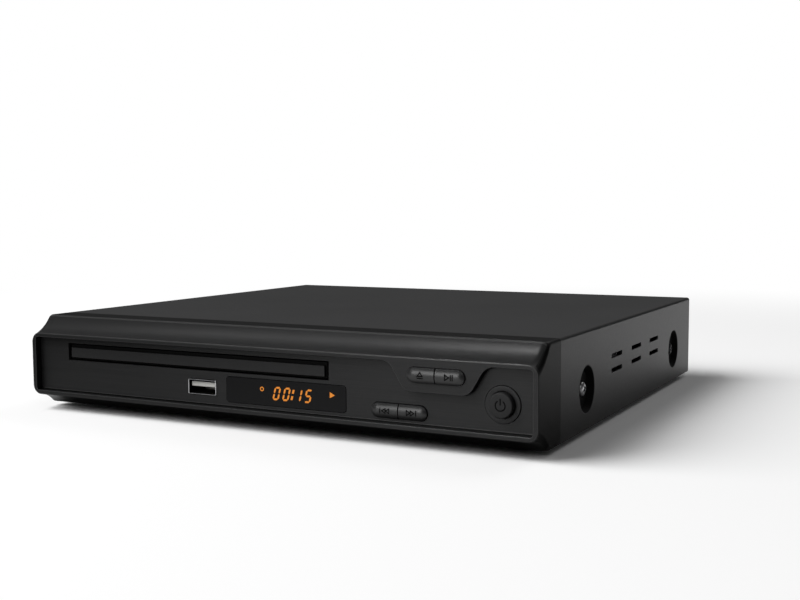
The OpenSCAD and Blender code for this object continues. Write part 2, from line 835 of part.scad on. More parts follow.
module front_board() {
  low = foot_h + 4.2;
  top = foot_h + 29.5;
  shelf = slot_z0 - 1.4;
  step_x = loader_x + slot_w / 2 + 4;
  back_d = front_board_d + board_t;
  color("darkgreen") in_case() difference() {
    facing(front_board_d, back_d) polygon(rounded([[board_left, low], [board_right, low],
      [board_right, top], [step_x, top], [step_x, shelf], [board_left, shelf]], 0.8, 3));
    facing(front_board_d - 1, back_d + 1) usb_outline(0.3);
    for (p = front_board_posts)
      post_y(screw_r + 0.15, front_board_d - 1, back_d + 1, p.x, p.y);
  }
}

module display_module() {
  d0 = recess_floor + 3.2;
  middle = [window_x, window_mid];
  w = window_w - 14.6;
  color("#202020") in_case() difference() {
    facing(d0, front_board_d) polygon(tablet(middle, w, window_h, 0.6));
    facing(d0 - 1, d0 + 0.4) polygon(tablet(middle, w - 4, window_h - 1.8, 0));
  }
}

module key_switches() {
  color("silver") in_case() for (p = key_places) {
    facing(front_board_d - switch_h, front_board_d) translate([p.x - 3, p.y - 3]) square(6);
    post_y(1.7, stem_tip_d, front_board_d - switch_h, p.x, p.y);
  }
}

module ir_receiver() {
  x = window_x - window_w / 2 + 4;
  color("#18121c") in_case() {
    facing(front_board_d - 4.6, front_board_d) translate([x - 2.6, window_mid - 3]) square([5.2, 6.4]);
    translate([x, front_board_d - 4.6, window_mid + 0.4]) rotate([90, 0, 0]) cylinder(r = 2, h = 0.8);
  }
}

usb_d0 = recess_d - 0.3;
usb_d1 = front_board_d + board_t + 1;
usb_wall = 0.4;

module usb_shell() {
  color("silver") in_case() difference() {
    facing(usb_d0, usb_d1) usb_outline(0);
    facing(usb_d0 - 1, usb_d1 - usb_wall) usb_outline(-usb_wall);
  }
}

module usb_tongue() {
  z1 = window_mid + usb_h / 2 - usb_wall - 0.75;
  color("white") in_case() {
    facing(usb_d0 + 1, usb_d1 - 3) translate([usb_x - 5.6, z1 - 1.8]) square([11.2, 1.8]);
    facing(usb_d1 - 3, usb_d1 - usb_wall) usb_outline(-usb_wall);
  }
}

// Flat ribbon: from the front board down to the chassis and back to the main board
module front_ribbon() {
  t = 0.3;
  w = 7;
  x0 = supply_x0 + 4 + standoff_r + 0.6;
  low = floor_top + 0.3;
  high = board_z1 + 1.2;
  z = foot_h + 16;
  back_d = front_board_d + board_t;
  drop_d = back_d + 9;
  rise_d = main_d0 - 3;
  color("whitesmoke") in_case() {
    along_x(x0, x0 + w) polygon([
      [back_d + 3, z], [drop_d, z], [drop_d, low], [rise_d, low], [rise_d, high], [main_d0 + 2, high],
      [main_d0 + 2, high + t], [rise_d - t, high + t], [rise_d - t, low + t],
      [drop_d + t, low + t], [drop_d + t, z + t], [back_d + 3, z + t]
    ]);
    block(x0 - 1, x0 + w + 1, back_d, back_d + 3, z - 1.4, z + 1.6);
    block(x0 - 1, x0 + w + 1, main_d0 + 1, main_d0 + 5, board_z1, board_z1 + 2.6);
  }
}

// ---------------------------------------------------------------- case

dish_depths = [dish_front_d, dish_front_d + dish_pitch];

// The dishes of both sides: each child is drawn for the right side, at the case's surface
module at_dishes() {
  for (side = [-1, 1]) for (d = dish_depths)
    translate([side * right_x, d, foot_h + dish_z]) rotate([0, 90 * side, 0]) children();
}

// Hollow of a dish, with sloping wall, below a surface at zero
module dish_hollow(r, depth) {
  rotate_extrude() polygon([[0, 1], [r + 0.5, 1], [r, 0], [r - depth * 1.1, -depth], [0, -depth]]);
}

module top_cover() {
  inner_half = right_x - sheet_t;
  inner_r = fold_r - sheet_t + 0.01;
  outer = rectangle(-right_x, right_x, cover_bottom, case_top);
  inner = rectangle(-inner_half, inner_half, cover_bottom - 1, case_top - sheet_t);
  d0 = bezel_d + cover_gap;
  color("#2b2b2b") in_case() difference() {
    union() {
      difference() {
        facing(d0, body_d) polygon(rounded(outer, [0, 0, fold_r, fold_r]));
        facing(d0 - 1, body_d + 1) polygon(rounded(inner, [0, 0, inner_r, inner_r]));
      }
      at_dishes() translate([0, 0, -sheet_t]) difference() {
        dish_hollow(dish_r, dish_depth);
        cylinder(r = dish_r + 2, h = 2);
      }
    }
    at_dishes() dish_hollow(dish_r, dish_depth);
    at_dishes() translate([0, 0, -dish_depth - sheet_t - 1])
      cylinder(r = screw_r + 0.25, h = dish_depth + 2);
    for (side = [-1, 1]) along_x(side * right_x - 2, side * right_x + 2)
      for (i = [0:vent_columns - 1]) for (row = [0, 1]) {
        middle = [vent_first_d + i * vent_pitch, foot_h + vent_top_z - row * vent_row_pitch];
        polygon(tablet(middle, vent_w, vent_h, 0.4));
      }
  }
}

module cover_screws() {
  color("silver") in_case() at_dishes() translate([0, 0, -dish_depth]) screw(0, 0, 0, 5);
}

foot_places = [
  [loader_x, front_foot_d],
  [right_x - front_foot_inset, front_foot_d],
  [left_x + rear_foot_inset, body_d - rear_foot_inset],
  [right_x - rear_foot_inset, body_d - rear_foot_inset]
];

module feet() {
  edge = 0.5;
  color("#151515") in_case() for (p = foot_places)
    turned(p.x, p.y, [[0, 0], [foot_r - edge, 0], [foot_r, edge], [foot_r, foot_h], [0, foot_h]]);
}

main_board_holes = [[main_x0 + 4, main_d0 + 4], [min(main_x1 - 14, supply_x0 + 2), main_d0 + 4],
  [main_x0 + 4, main_d1 - 5], [main_x1 - 4, main_d1 - 5]];
power_board_holes = rectangle(supply_x0 + 4, supply_x1 - 4, supply_d0 + 4, supply_d1 - 4);
lug_u = rail_half + 3;
lug_r = 2.9;
loader_lugs = rectangle(loader_x - lug_u, loader_x + lug_u, loader_d0 + 8.4, loader_d1 - 12);
lug_z = floor_top + 5.4;
lug_t = 2;
rear_wall_half = right_x - sheet_t - 0.4;

module standoff(p, top) {
  difference() {
    post_z(standoff_r, p.x, p.y, floor_top - 0.2, top);
    post_z(pilot_r, p.x, p.y, floor_top + 0.3, top + 1);
  }
}

// Upright wall of sheet on both sides, its outer face at x, from an outline in depth and Z
module side_wall(x, outline) {
  both_sides() along_x(x - sheet_t, x) polygon(outline);
}

// Opening in the rear wall
module wall_cut(x, z, w, h) {
  facing(wall_d - 2, wall_d + 1) polygon(tablet([x, z], w, h, 0));
}

module bottom_chassis() {
  tongue_half_w = right_x - bezel_wall - 0.3;
  floor_half = right_x - sheet_t - cover_gap;
  root = floor_top - 0.1;
  flange_top = floor_top + 4.6;
  ear_x = right_x - sheet_t - dish_depth - 0.1;
  ear_half = 9;
  ear_top = foot_h + dish_z + 6;
  wall_top = case_top - sheet_t - 0.2;
  wall_face = wall_d - sheet_t;
  lip_d = wall_d - 6;
  color("#8f9296") in_case() {
    difference() {
      union() {
        block(-tongue_half_w, tongue_half_w, bezel_floor_end + 0.2, bezel_d + 1, foot_h, floor_top);
        block(-floor_half, floor_half, bezel_d + 0.2, wall_d, foot_h, floor_top);
        side_wall(floor_half - 0.2, [[bezel_d + 8, root], [wall_d, root],
          [wall_d, flange_top], [bezel_d + 10, flange_top]]);
        for (d = dish_depths) side_wall(ear_x,
          rounded(rectangle(d - ear_half, d + ear_half, root, ear_top), [0, 0, 2, 2], 4));
        // Rear wall with a flange under the cover
        along_x(-rear_wall_half, rear_wall_half) polygon([
          [wall_face, foot_h], [wall_d, foot_h], [wall_d, wall_top], [lip_d, wall_top],
          [lip_d, wall_top - sheet_t], [wall_face, wall_top - sheet_t]
        ]);
      }
      at_dishes() translate([0, 0, -dish_depth - 6]) cylinder(r = pilot_r, h = 5.5);
      for (x = rca_places) post_y(rca_r + 0.3, wall_d - 2, wall_d + 1, x, rca_z);
      wall_cut(scart_x, board_z1 + scart_h / 2, scart_w + 0.6, scart_h + 0.4);
      wall_cut(hdmi_x, hdmi_z, 15.6, 6.3);
      wall_cut(inlet_x, inlet_z, 22, 11.6);
      for (p = rear_screw_places)
        post_y(pilot_r, wall_d - 2, wall_d + 1, p.x, p.y);
      // Rows of slots under the loader
      for (i = [-3:3]) slab(loader_x + i * 10 - 1.5, loader_x + i * 10 + 1.5,
        body_d * 0.45, body_d * 0.45 + 36, 0, 2 * floor_top, 1.4, 4);
    }
    for (p = concat(main_board_holes, power_board_holes)) standoff(p, board_z0);
    for (p = loader_lugs) standoff(p, lug_z);
  }
}

// ---------------------------------------------------------------- loader

module rail(side) {
  tray_side = tray_w / 2 + rail_gap;
  lip_u = tray_w / 2 - 0.8;
  wall_in = rail_half - rail_wall;
  shelf = ledge_top - ledge_t;
  guide = tray_side + 1.4;
  outline = [[rail_half, frame_floor], [rail_half, rail_top], [lip_u, rail_top], [lip_u, hook_z],
    [tray_side, hook_z], [tray_side, ledge_top], [ledge_in, ledge_top], [ledge_in, shelf],
    [wall_in, shelf], [wall_in, frame_floor]];
  scale([side, 1, 1]) difference() {
    facing(loader_d0, loader_d1) polygon(outline);
    facing(loader_d0 - 1, loader_d1 + 1) polygon(rectangle(guide, wall_in, ledge_top, rail_top - 1.4));
    // Windows that lighten the outer wall and the top flange
    for (d = [loader_d0 + 38.4, loader_d0 + 78.4]) along_x(wall_in - 1, rail_half + 1)
      polygon(rounded(rectangle(d, d + 24, frame_floor + 4, ledge_top - 5), 2, 4));
    for (d = [14.4, 74.4, 108.4]) translate([0, loader_d0 + d, 0])
      slab(guide + 1, wall_in - 1, 0, 22, rail_top - 2, rail_top + 2, 2, 4);
  }
}

module loader_frame() {
  wheel_clear = wheel_r + 2;
  wheel_room = wheel_z0 - 0.3;
  ear_u0 = lift_half + 1;
  span = rail_half - 1;
  shelf = ledge_top - ledge_t;
  color("#d8d8d4") in_loader() {
    difference() {
      union() {
        rail(1);
        rail(-1);
        // Front deck for the gears
        block(-span, span, loader_d0, deck_d1, deck_z0, deck_top);
        // Rear crossbar
        block(-span, span, loader_d1 - 16, loader_d1, ledge_top - 3.4, shelf);
        block(-span, span, loader_d1 - 2, loader_d1, frame_floor + 3, shelf);
        // Beam and lips that guide the cam slider
        block(-span, span, cam_d0 - 3.2, lift_d0 + 0.4, frame_floor, cam_rail_z);
        block(-span, span, cam_d0 - 3.2, cam_d0 - 2.2, frame_floor, cam_rail_z + 0.8);
        block(-span, span, lift_d0 - 0.4, lift_d0 + 0.4, frame_floor, cam_rail_z + 0.6);
        // Ears for the traverse's pivots
        both_sides() {
          block(ear_u0, ear_u0 + 4, pivot_d - 5, pivot_d + 5, pivot_z - 4, ledge_top - 0.1);
          block(ear_u0, ledge_in + 1, pivot_d - 5, pivot_d + 5, shelf, ledge_top);
        }
        // Lugs on the standoffs
        both_sides() for (p = loader_lugs) {
          post_z(lug_r, lug_u, p.y, lug_z, lug_z + lug_t);
          block(span, lug_u, p.y - lug_r, p.y + lug_r, lug_z, lug_z + lug_t);
        }
      }
      for (p = loader_lugs)
        post_z(pilot_r, p.x - loader_x, p.y, lug_z - 1, lug_z + lug_t + 1);
      for (p = bridge_holes) post_z(pilot_r, p.x, p.y, rail_top - 3, rail_top + 1);
      // Room for the large tray gear in the right ledge, and for the cam's rack under it
      block(tray_gear_u - wheel_clear, tray_gear_u + wheel_clear, loader_d0 - 1, gear_d + wheel_clear,
        wheel_room, ledge_top);
      block(0, tray_gear_u + wheel_clear, deck_d1, lift_d0 + 0.5, wheel_room, ledge_top);
      post_x(pivot_r + running_gap, -ear_u0 - 5, ear_u0 + 5, pivot_d, pivot_z);
      post_z(3.4, motor_u, gear_d, deck_z0 - 1, deck_top + 1);
      for (side = [-1, 1]) post_z(screw_r, motor_u + side * 8, gear_d, deck_z0 - 1, deck_top + 1);
    }
    post_z(post_r, tray_gear_u, gear_d, deck_top - 0.5, plate_under - 0.4);
    post_z(post_r + 1, tray_gear_u, gear_d, deck_top - 0.5, wheel_room);
    post_z(post_r, pulley_u, gear_d, deck_top - 0.5, wheel_z1 + 0.1);
  }
}

module disc_tray() {
  well_r = disc_r + well_gap;
  cut_half = 23;
  half = tray_w / 2;
  root = plate_under + 0.1;
  open_top = tray_top + 1;
  pitch = PI * rack_module;
  teeth = floor((tray_d1 - 2 - gear_d) / pitch);
  tooth_places = [for (k = [-2:teeth]) gear_d + k * pitch];
  color("#232323") in_loader() difference() {
    union() {
      slab(-half, half, tray_d0, tray_d1, plate_under, tray_top, [0, 0, 4, 4]);
      post_z(small_disc_r + 1.4, 0, disc_d, small_under, root);
      both_sides() block(half - 1.8, half, tray_d0 + 3, tray_d1 - 5, run_z, root);
      rack(rack_module, rack_u, half - 1, tooth_places, run_z, root);
    }
    // Wells for the two sizes of disc, with sloping walls
    turned(0, disc_d, [[0, well_floor], [well_r - 0.3, well_floor], [well_r, tray_top],
      [well_r + 0.1, open_top], [0, open_top]]);
    turned(0, disc_d, [[0, small_floor], [small_disc_r, small_floor],
      [small_disc_r + 0.5, well_floor + 0.01], [0, well_floor + 0.01]]);
    // Way for the turntable and the pickup, open to the rear
    post_z(cut_half, 0, disc_d, run_z - 1, open_top);
    block(-cut_half, cut_half, disc_d, tray_d1 + 1, run_z - 1, open_top);
    // Weight-saving pockets behind the wells, and finger notches
    both_sides() {
      slab(cut_half + 4, half - 4, disc_d + well_r - 4, tray_d1 - 5, well_floor, open_top, 3);
      slab(cut_half + 8, cut_half + 14, disc_d - 6, disc_d + 6, run_z - 1, open_top, 2, 4);
    }
  }
}

module tray_door() {
  half = slot_w / 2 - door_end_gap;
  z0 = slot_z0 + door_gap;
  z1 = slot_z1 - door_gap;
  b = door_rim;
  color("#2d2d2d") in_loader() {
    loft([for (s = [[0, b], [door_step, b], [door_step, 0], [door_t, 0]])
      [for (p = rectangle(-half + s[1], half - s[1], z0 + s[1], z1 - s[1])) [p.x, door_d + s[0], p.y]]]);
  }
}

module tray_gear() {
  color("ivory") in_loader() translate([tray_gear_u, gear_d, 0]) difference() {
    union() {
      gear(wheel_teeth, wheel_module, wheel_z0, wheel_z1);
      gear(rack_pinion_teeth, rack_module, wheel_z1 - 0.1, plate_under - 0.3, 0.5);
    }
    post_z(post_r + running_gap, 0, 0, wheel_z0 - 1, plate_under + 1);
    for (a = [30:60:330]) rotate(a) post_z(2.4, wheel_r * 0.68, 0, wheel_z0 - 1, wheel_z1 + 1);
  }
}

belt_z = (pulley_z0 + pulley_z1) / 2;

// Grooved rim of a pulley
module pulley_form(r, z0, z1) {
  groove = belt_t + 0.3;
  low = belt_z - groove / 2;
  high = belt_z + groove / 2;
  turned(0, 0, [[0, z0], [r, z0], [r, low], [r - 1, low], [r - 1, high], [r, high], [r, z1], [0, z1]]);
}

module pulley_gear() {
  color("ivory") in_loader() translate([pulley_u, gear_d, 0]) difference() {
    union() {
      pulley_form(pulley_r, pulley_z0, pulley_z1);
      gear(pulley_pinion_teeth, wheel_module, pulley_z1 - 0.1, wheel_z1);
    }
    post_z(post_r + running_gap, 0, 0, pulley_z0 - 1, wheel_z1 + 1);
    for (a = [0:60:300]) rotate(a) post_z(1.6, pulley_r * 0.6, 0, pulley_z0 - 1, pulley_z1 + 1);
  }
}

module motor_pulley() {
  color("ivory") in_loader() translate([motor_u, gear_d, 0]) {
    pulley_form(motor_pulley_r, pulley_z0, pulley_z1);
    // Motor shaft
    post_z(0.9, 0, 0, deck_z0 - 3, pulley_z1 + 0.6);
  }
}

// Outline round both pulleys, at the given radii
function belt_outline(r_big, r_small, steps = 36) =
  let (
    turn = 90 + asin((r_big - r_small) / belt_centres),
    big = [for (i = [0:steps]) -turn + 2 * turn * i / steps],
    small = [for (i = [0:steps]) turn + (360 - 2 * turn) * i / steps]
  )
  concat(
    [for (a = big) [belt_centres, 0] + r_big * [cos(a), sin(a)]],
    [for (a = small) r_small * [cos(a), sin(a)]]
  );

module drive_belt() {
  big = pulley_r - 0.9;
  small = motor_pulley_r - 0.9;
  color("#111111") in_loader() translate([motor_u, gear_d, belt_z - belt_t / 2])
    linear_extrude(belt_t) difference() {
      polygon(belt_outline(big + belt_t, small + belt_t));
      polygon(belt_outline(big, small));
    }
}

module loading_motor() {
  color("silver") in_loader() translate([motor_u, gear_d, 0]) difference() {
    union() {
      post_z(load_motor_r, 0, 0, deck_z0 - load_motor_h, deck_z0);
      post_z(3.1, 0, 0, deck_z0 - 0.1, deck_z0 + 1);
    }
    post_z(0.9 + running_gap, 0, 0, deck_z0 - 4, deck_z0 + 2);
    for (side = [-1, 1]) post_z(screw_r - 0.05, side * 8, 0, deck_z0 - 3, deck_z0 + 2);
  }
}

module cam_slider() {
  slot_r = cam_pin_r + cam_slot_gap;
  run = [cam_travel, -cam_drop];
  plate_u0 = cam_pin_u - 8;
  plate_u1 = cam_pin_u + cam_travel + 8;
  rack_end = tray_gear_u + 2;
  foot_z = cam_rail_z + 0.2;
  rack_d = cam_d0 + 0.6;
  color("#e6e2d6") in_loader() {
    difference() {
      union() {
        block(plate_u0, plate_u1, cam_d0, cam_d0 + cam_t, foot_z, wheel_z0 - 0.2);
        block(plate_u0 - 6, plate_u1 + 6, cam_d0 - 2, lift_d0 - 0.6, foot_z, foot_z + cam_foot_t);
      }
      // Oblique slot with a flat stretch at each end
      translate([cam_pin_u, 0, pivot_z]) facing(cam_d0 - 1, cam_d0 + cam_t + 1) {
        for (p = [[0, 0], [-3, 0], run, run + [3, 0]]) translate(p) circle(r = slot_r);
        translate([-3, -slot_r]) square([3, 2 * slot_r]);
        translate(run + [0, -slot_r]) square([3, 2 * slot_r]);
        rotate(atan2(run.y, run.x)) translate([0, -slot_r]) square([norm(run), 2 * slot_r]);
      }
    }
    // Rack strip behind the large tray gear, one tooth's depth clear of it
    difference() {
      block(plate_u0, rack_end, rack_d, lift_d0 - 0.6, wheel_z0 - 0.2, wheel_z1 - 0.2);
      for (u = [plate_u0 + 2:PI * wheel_module:rack_end - 1]) translate([u, rack_d, wheel_z0 - 1])
        linear_extrude(wheel_t + 2) polygon([[-0.85, -0.1], [0.85, -0.1], [0.35, 1.1], [-0.35, 1.1]]);
    }
  }
}

bridge_half = rail_half - 6;
bridge_holes = [for (side = [-1, 1]) for (d = [-8, 8]) [side * bridge_half, disc_d + d]];

module clamper_bridge() {
  hole_r = puck_r + 1;
  top = bridge_z + bridge_t;
  end_u = bridge_half + 4;
  color("#a9abae") in_loader() difference() {
    union() {
      slab(-end_u, end_u, disc_d - 13, disc_d + 13, bridge_z, top, 3);
      post_z(puck_r + 8, 0, disc_d, bridge_z, top);
      for (d = [-13, 12])
        block(6 - bridge_half, bridge_half - 6, disc_d + d, disc_d + d + 1, bridge_z, bridge_z + 2.6);
    }
    post_z(hole_r, 0, disc_d, bridge_z - 1, top + 2);
    post_z(puck_r + 5.5, 0, disc_d, top, top + 3);
    for (p = bridge_holes) post_z(screw_r + 0.1, p.x, p.y, bridge_z - 1, top + 1);
    for (u = [-46, -32, 24, 38]) slab(u, u + 8, disc_d - 6, disc_d + 6, bridge_z - 1, top + 1, 2, 4);
  }
}

module clamper() {
  recess = boss_r + 0.9;
  top = puck_flange_z + 1.1;
  seat = top - 1.4;
  rim = magnet_r + 1.6;
  bore = magnet_r + snug_gap;
  color("#eeeeea") in_loader() turned(0, disc_d, [
    [0, puck_z0 + 1.8], [recess, puck_z0 + 1.8], [recess, puck_z0 + 0.6], [recess + 1, puck_z0],
    [puck_r, puck_z0], [puck_r, puck_flange_z], [puck_r + 4, puck_flange_z], [puck_r + 4, top],
    [rim, top], [rim, top + 0.8], [bore, top + 0.8], [bore, seat], [0, seat]
  ]);
}

module clamper_magnet() {
  seat = puck_flange_z - 0.3;
  color("dimgray") in_loader()
    turned(0, disc_d, [[2, seat], [magnet_r, seat], [magnet_r, seat + 2], [2, seat + 2]]);
}

module loader_screws() {
  color("silver") {
    in_case() for (p = loader_lugs) screw(p.x, p.y, lug_z + lug_t, lug_t + 4);
    in_loader() for (p = bridge_holes) screw(p.x, p.y, bridge_z + bridge_t, bridge_t + 1.2);
  }
}

// ---------------------------------------------------------------- traverse

damper_places = [for (u = [-damper_u, damper_u]) for (d = [damper_front_d, damper_rear_d]) [u, d]];
damper_r = 4.2;
damper_neck_r = 3;
damper_bore = 1.6;

module lift_frame() {
  half = lift_half - lift_bar;
  pad = damper_r + 0.2;
  pad_z1 = lift_z0 + 2;
  color("#3c3c3c") in_loader() {
    difference() {
      slab(-lift_half, lift_half, lift_d0, lift_d1, lift_z0, lift_z1, 3);
      slab(-half, half, lift_d0 + 4, lift_d1 - 4, lift_z0 - 1, lift_z1 + 1, 2);
    }
    // Seats of the dampers, each with the pin that holds one
    both_sides() {
      block(damper_u - pad, damper_u + pad, lift_d0 + 3, damper_front_d + pad, lift_z0, pad_z1);
      block(damper_u - pad, damper_u + pad, damper_rear_d - pad, lift_d1 - 3, lift_z0, pad_z1);
      for (d = [damper_front_d, damper_rear_d]) {
        block(damper_u, half + 0.5, d - pad, d + pad, lift_z0, pad_z1);
        post_z(damper_bore, damper_u, d, lift_z0 + 1, plate_z1 + 2);
      }
      post_x(pivot_r, lift_half - 1, lift_half + 4.6, pivot_d, pivot_z);
    }
    post_y(cam_pin_r, lift_d0 - cam_pin_len, lift_d0 + 1, cam_pin_u, pivot_z);
  }
}

module lift_dampers() {
  foot = lift_z0 + 2;
  top = plate_z1 + 1.4;
  color("#1a1a1a") in_loader() for (p = damper_places) turned(p.x, p.y, [
    [damper_bore, foot], [damper_r, foot], [damper_r, plate_z0], [damper_neck_r, plate_z0],
    [damper_neck_r, plate_z1], [damper_r, plate_z1], [damper_r, top], [damper_bore, top]
  ]);
}

module traverse_plate() {
  half = lift_half - lift_bar - 1;
  under = plate_z0 - 1;
  over = plate_z1 + 1;
  color("silver") in_loader() difference() {
    union() {
      slab(-half, half, lift_d0 + 5, lift_d1 - 4.6, plate_z0, plate_z1, 3);
      for (u = [left_rod_u, right_rod_u]) for (d = [rod_d0, rod_d1 - holder_len])
        block(u - 3, u + 3, d, d + holder_len, plate_z1 - 0.1, rod_z + rod_r + 0.7);
      post_z(1, sled_gear_u, sled_gear_d, plate_z0, sled_rack_z1 + 0.4);
    }
    for (p = damper_places) post_z(damper_neck_r + snug_gap, p.x, p.y, under, over);
    post_z(4.1, 0, disc_d, under, over);
    post_z(2.7, sled_gear_u, sled_motor_d, under, over);
    for (u = [left_rod_u, right_rod_u]) post_y(rod_r, rod_d0 - 1, rod_d1 + 1, u, rod_z);
    slab(left_rod_u - 4, right_rod_u + 4.5, rod_d0 + holder_len + 0.6, rod_d1 - holder_len - 0.6,
      under, over, 2);
  }
}

module spindle_motor() {
  bore = 1 + running_gap;
  can_top = disc_z - 3.4;
  color("silver") in_loader() turned(0, disc_d, [
    [bore, plate_z0 - 2.2], [4, plate_z0 - 2.2], [4, plate_z1], [13, plate_z1], [13, plate_z1 + 1],
    [11, plate_z1 + 1], [11, can_top - 0.3], [10.4, can_top], [bore, can_top]
  ]);
}

module turntable() {
  under = disc_z - 1.5;
  rim = turntable_r - 1;
  pad = turntable_r - 4;
  color("#202020") in_loader() turned(0, disc_d, [
    [0, plate_z0 - 2], [1, plate_z0 - 2], [1, disc_z - 3.2], [3.2, disc_z - 3.2], [3.2, under],
    [turntable_r, under], [turntable_r, disc_z - 0.1], [rim, disc_z - 0.1], [rim, disc_z], [pad, disc_z],
    [pad, disc_z - 0.1], [boss_r, disc_z - 0.1], [boss_r, disc_z + 1.1], [boss_r - 1.4, disc_z + 1.5],
    [3, disc_z + 1.5], [3, disc_z + 0.8], [0, disc_z + 0.8]
  ]);
}

module guide_rods() {
  color("silver") in_loader() for (u = [left_rod_u, right_rod_u]) post_y(rod_r, rod_d0, rod_d1, u, rod_z);
}

sled_d0 = lens_d - 9;
sled_d1 = lens_d + 13.5;

module pickup_sled() {
  bearing_r = 2.5;
  pitch = PI * sled_module;
  low_teeth = floor((sled_travel + 2) / pitch);
  tooth_places = [for (k = [-low_teeth - 1:2]) sled_gear_d + k * pitch];
  body_z0 = plate_z1 + 0.5;
  body_z1 = small_under - 0.7;
  fork_half = rod_r + running_gap;
  fork_out = rod_r + 1;
  bearing_d0 = sled_d0 + 0.5;
  bearing_d1 = sled_d1 - 0.5;
  color("#9aa0a6") in_loader() difference() {
    union() {
      block(-22, 20, sled_d0, sled_d1, body_z0, body_z1);
      block(-16, 14, sled_d0 + 2.5, sled_d1 - 2, plate_z0 - 3.3, body_z0 + 0.1);
      block(-11, 11, sled_d0 + 1.5, sled_d0 + 17, body_z1 - 0.1, lens_top - 1.3);
      // Bearing on the left rod
      post_y(bearing_r, bearing_d0, bearing_d1, left_rod_u, rod_z);
      block(left_rod_u + 1.8, -21, bearing_d0, bearing_d1, rod_z - 1.4, rod_z + 1.4);
      // Fork on the right rod
      block(19, right_rod_u + 3, sled_d0 + 5, sled_d0 + 16, rod_z - fork_out, rod_z + fork_out);
      // Rack beside the left rod
      rack(sled_module, sled_rack_u, sled_rack_u + 3, tooth_places, sled_rack_z0, sled_rack_z1);
      block(sled_rack_u + 2, left_rod_u - 1.8, sled_d0 + 4, sled_d1 - 7, sled_rack_z0, sled_rack_z1);
    }
    post_y(rod_r + running_gap, sled_d0 - 1, sled_d1 + 1, left_rod_u, rod_z);
    block(
      right_rod_u - rod_r - 0.2, right_rod_u + 4, sled_d0, sled_d1, rod_z - fork_half, rod_z + fork_half
    );
    // Well of the lens
    block(-6.4, 6.4, lens_d - 5.4, lens_d + 5.4, lens_top - 2.6, lens_top);
    // Hollows of the casting
    for (u = [-20, 13.5]) block(u, u + 5, sled_d0 + 4, sled_d1 - 4, body_z1 - 2, body_z1 + 1);
  }
}

module pickup_lens() {
  color("#5a6c9a") in_loader() {
    block(-5.4, 5.4, lens_d - 4.2, lens_d + 4.2, lens_top - 1.7, lens_top - 0.4);
    turned(0, lens_d, [[0, lens_top - 0.5], [2.4, lens_top - 0.5], [2.2, lens_top - 0.2],
      [1.2, lens_top - 0.05], [0, lens_top]]);
  }
}

module sled_motor() {
  can_r = 7;
  bore = sled_shaft_r + running_gap;
  color("silver") in_loader() turned(sled_gear_u, sled_motor_d, [
    [bore, plate_z0 - 3], [0, plate_z0 - 3], [0, plate_z0 - can_r], [can_r - 0.2, plate_z0 - can_r],
    [can_r, plate_z0 - 6.7], [can_r, plate_z0], [2.6, plate_z0], [2.6, plate_z0 + 0.8],
    [bore, plate_z0 + 0.8]
  ]);
}

module sled_gear() {
  color("ivory") in_loader() translate([sled_gear_u, sled_gear_d, 0]) difference() {
    union() {
      gear(sled_wheel_teeth, sled_wheel_module, sled_wheel_z0, sled_wheel_z1);
      gear(sled_teeth, sled_module, sled_wheel_z1 - 0.1, sled_rack_z1, 0.5);
    }
    post_z(1 + running_gap, 0, 0, sled_wheel_z0 - 1, sled_rack_z1 + 1);
  }
}

module sled_pinion() {
  color("ivory") in_loader() translate([sled_gear_u, sled_motor_d, 0]) {
    gear(sled_pinion_teeth, sled_wheel_module, sled_wheel_z0 - 0.1, sled_wheel_z1 + 0.2, 0.5);
    // Motor shaft
    post_z(sled_shaft_r, 0, 0, plate_z0 - 2.8, sled_wheel_z1 + 0.8);
  }
}

// ---------------------------------------------------------------- boards

module board(x0, x1, d0, d1, holes) {
  difference() {
    slab(x0, x1, d0, d1, board_z0, board_z1, 1, 3);
    for (p = holes) post_z(screw_r + 0.15, p.x, p.y, board_z0 - 1, board_z1 + 1);
  }
}

module main_board() {
  color("darkgreen") in_case() board(main_x0, main_x1, main_d0, main_d1, main_board_holes);
}

module power_board() {
  color("#a8843c") in_case()
    board(supply_x0, supply_x1, supply_d0, supply_d1, power_board_holes);
}

module chip(x, d, w, l, h) {
  block(x - w / 2, x + w / 2, d - l / 2, d + l / 2, board_z1 + 0.1, board_z1 + h);
  // Gull-wing leads, drawn as a thin skirt
  block(x - w / 2 - 0.9, x + w / 2 + 0.9, d - l / 2 + 0.8, d + l / 2 - 0.8, board_z1, board_z1 + 0.3);
}

module main_chips() {
  color("#161616") in_case() {
    chip(main_x0 + 85.5, main_d0 + 11, 16, 16, 1.6);
    chip(main_x0 + 57.5, main_d0 + 9, 22, 10, 1.3);
    chip(main_x0 + 107.5, main_d0 + 8, 6, 5, 1.5);
    chip(main_x0 + 123.5, main_d0 + 8, 9, 5, 1.5);
    for (i = [0:3]) post_z(2.5, main_x0 + 12 + i * 8, main_d0 + 5, board_z1, board_z1 + 7);
  }
}

module capacitor(x, d, r, h) {
  translate([0, 0, board_z1])
    turned(x, d, [[0, 0], [r, 0], [r, 1.2], [r - 0.3, 1.6], [r, 2], [r, h - 0.4], [r - 0.4, h], [0, h]]);
}

module mains_capacitor() {
  color("#14213a") in_case() capacitor(supply_x0 + 16, supply_d1 - 22, 8, 20);
}

module output_capacitors() {
  pitch = 11;
  count = floor((supply_x1 - supply_x0 - 12) / pitch);
  color("#101820") in_case() for (i = [0:count - 1])
    capacitor(supply_x0 + 9 + i * pitch, supply_d0 + 11, 4, 12);
}

module transformer() {
  x = (supply_x0 + supply_x1) / 2 + 6;
  d = (supply_d0 + supply_d1) / 2 + 2;
  color("#d8b23a") in_case() {
    block(x - 11, x + 11, d - 3, d + 3, board_z1 + 1, board_z1 + 17);
    block(x - 8, x + 8, d - 10, d + 10, board_z1 + 4, board_z1 + 14);
    block(x - 9, x + 9, d - 11, d + 11, board_z1, board_z1 + 4);
  }
}

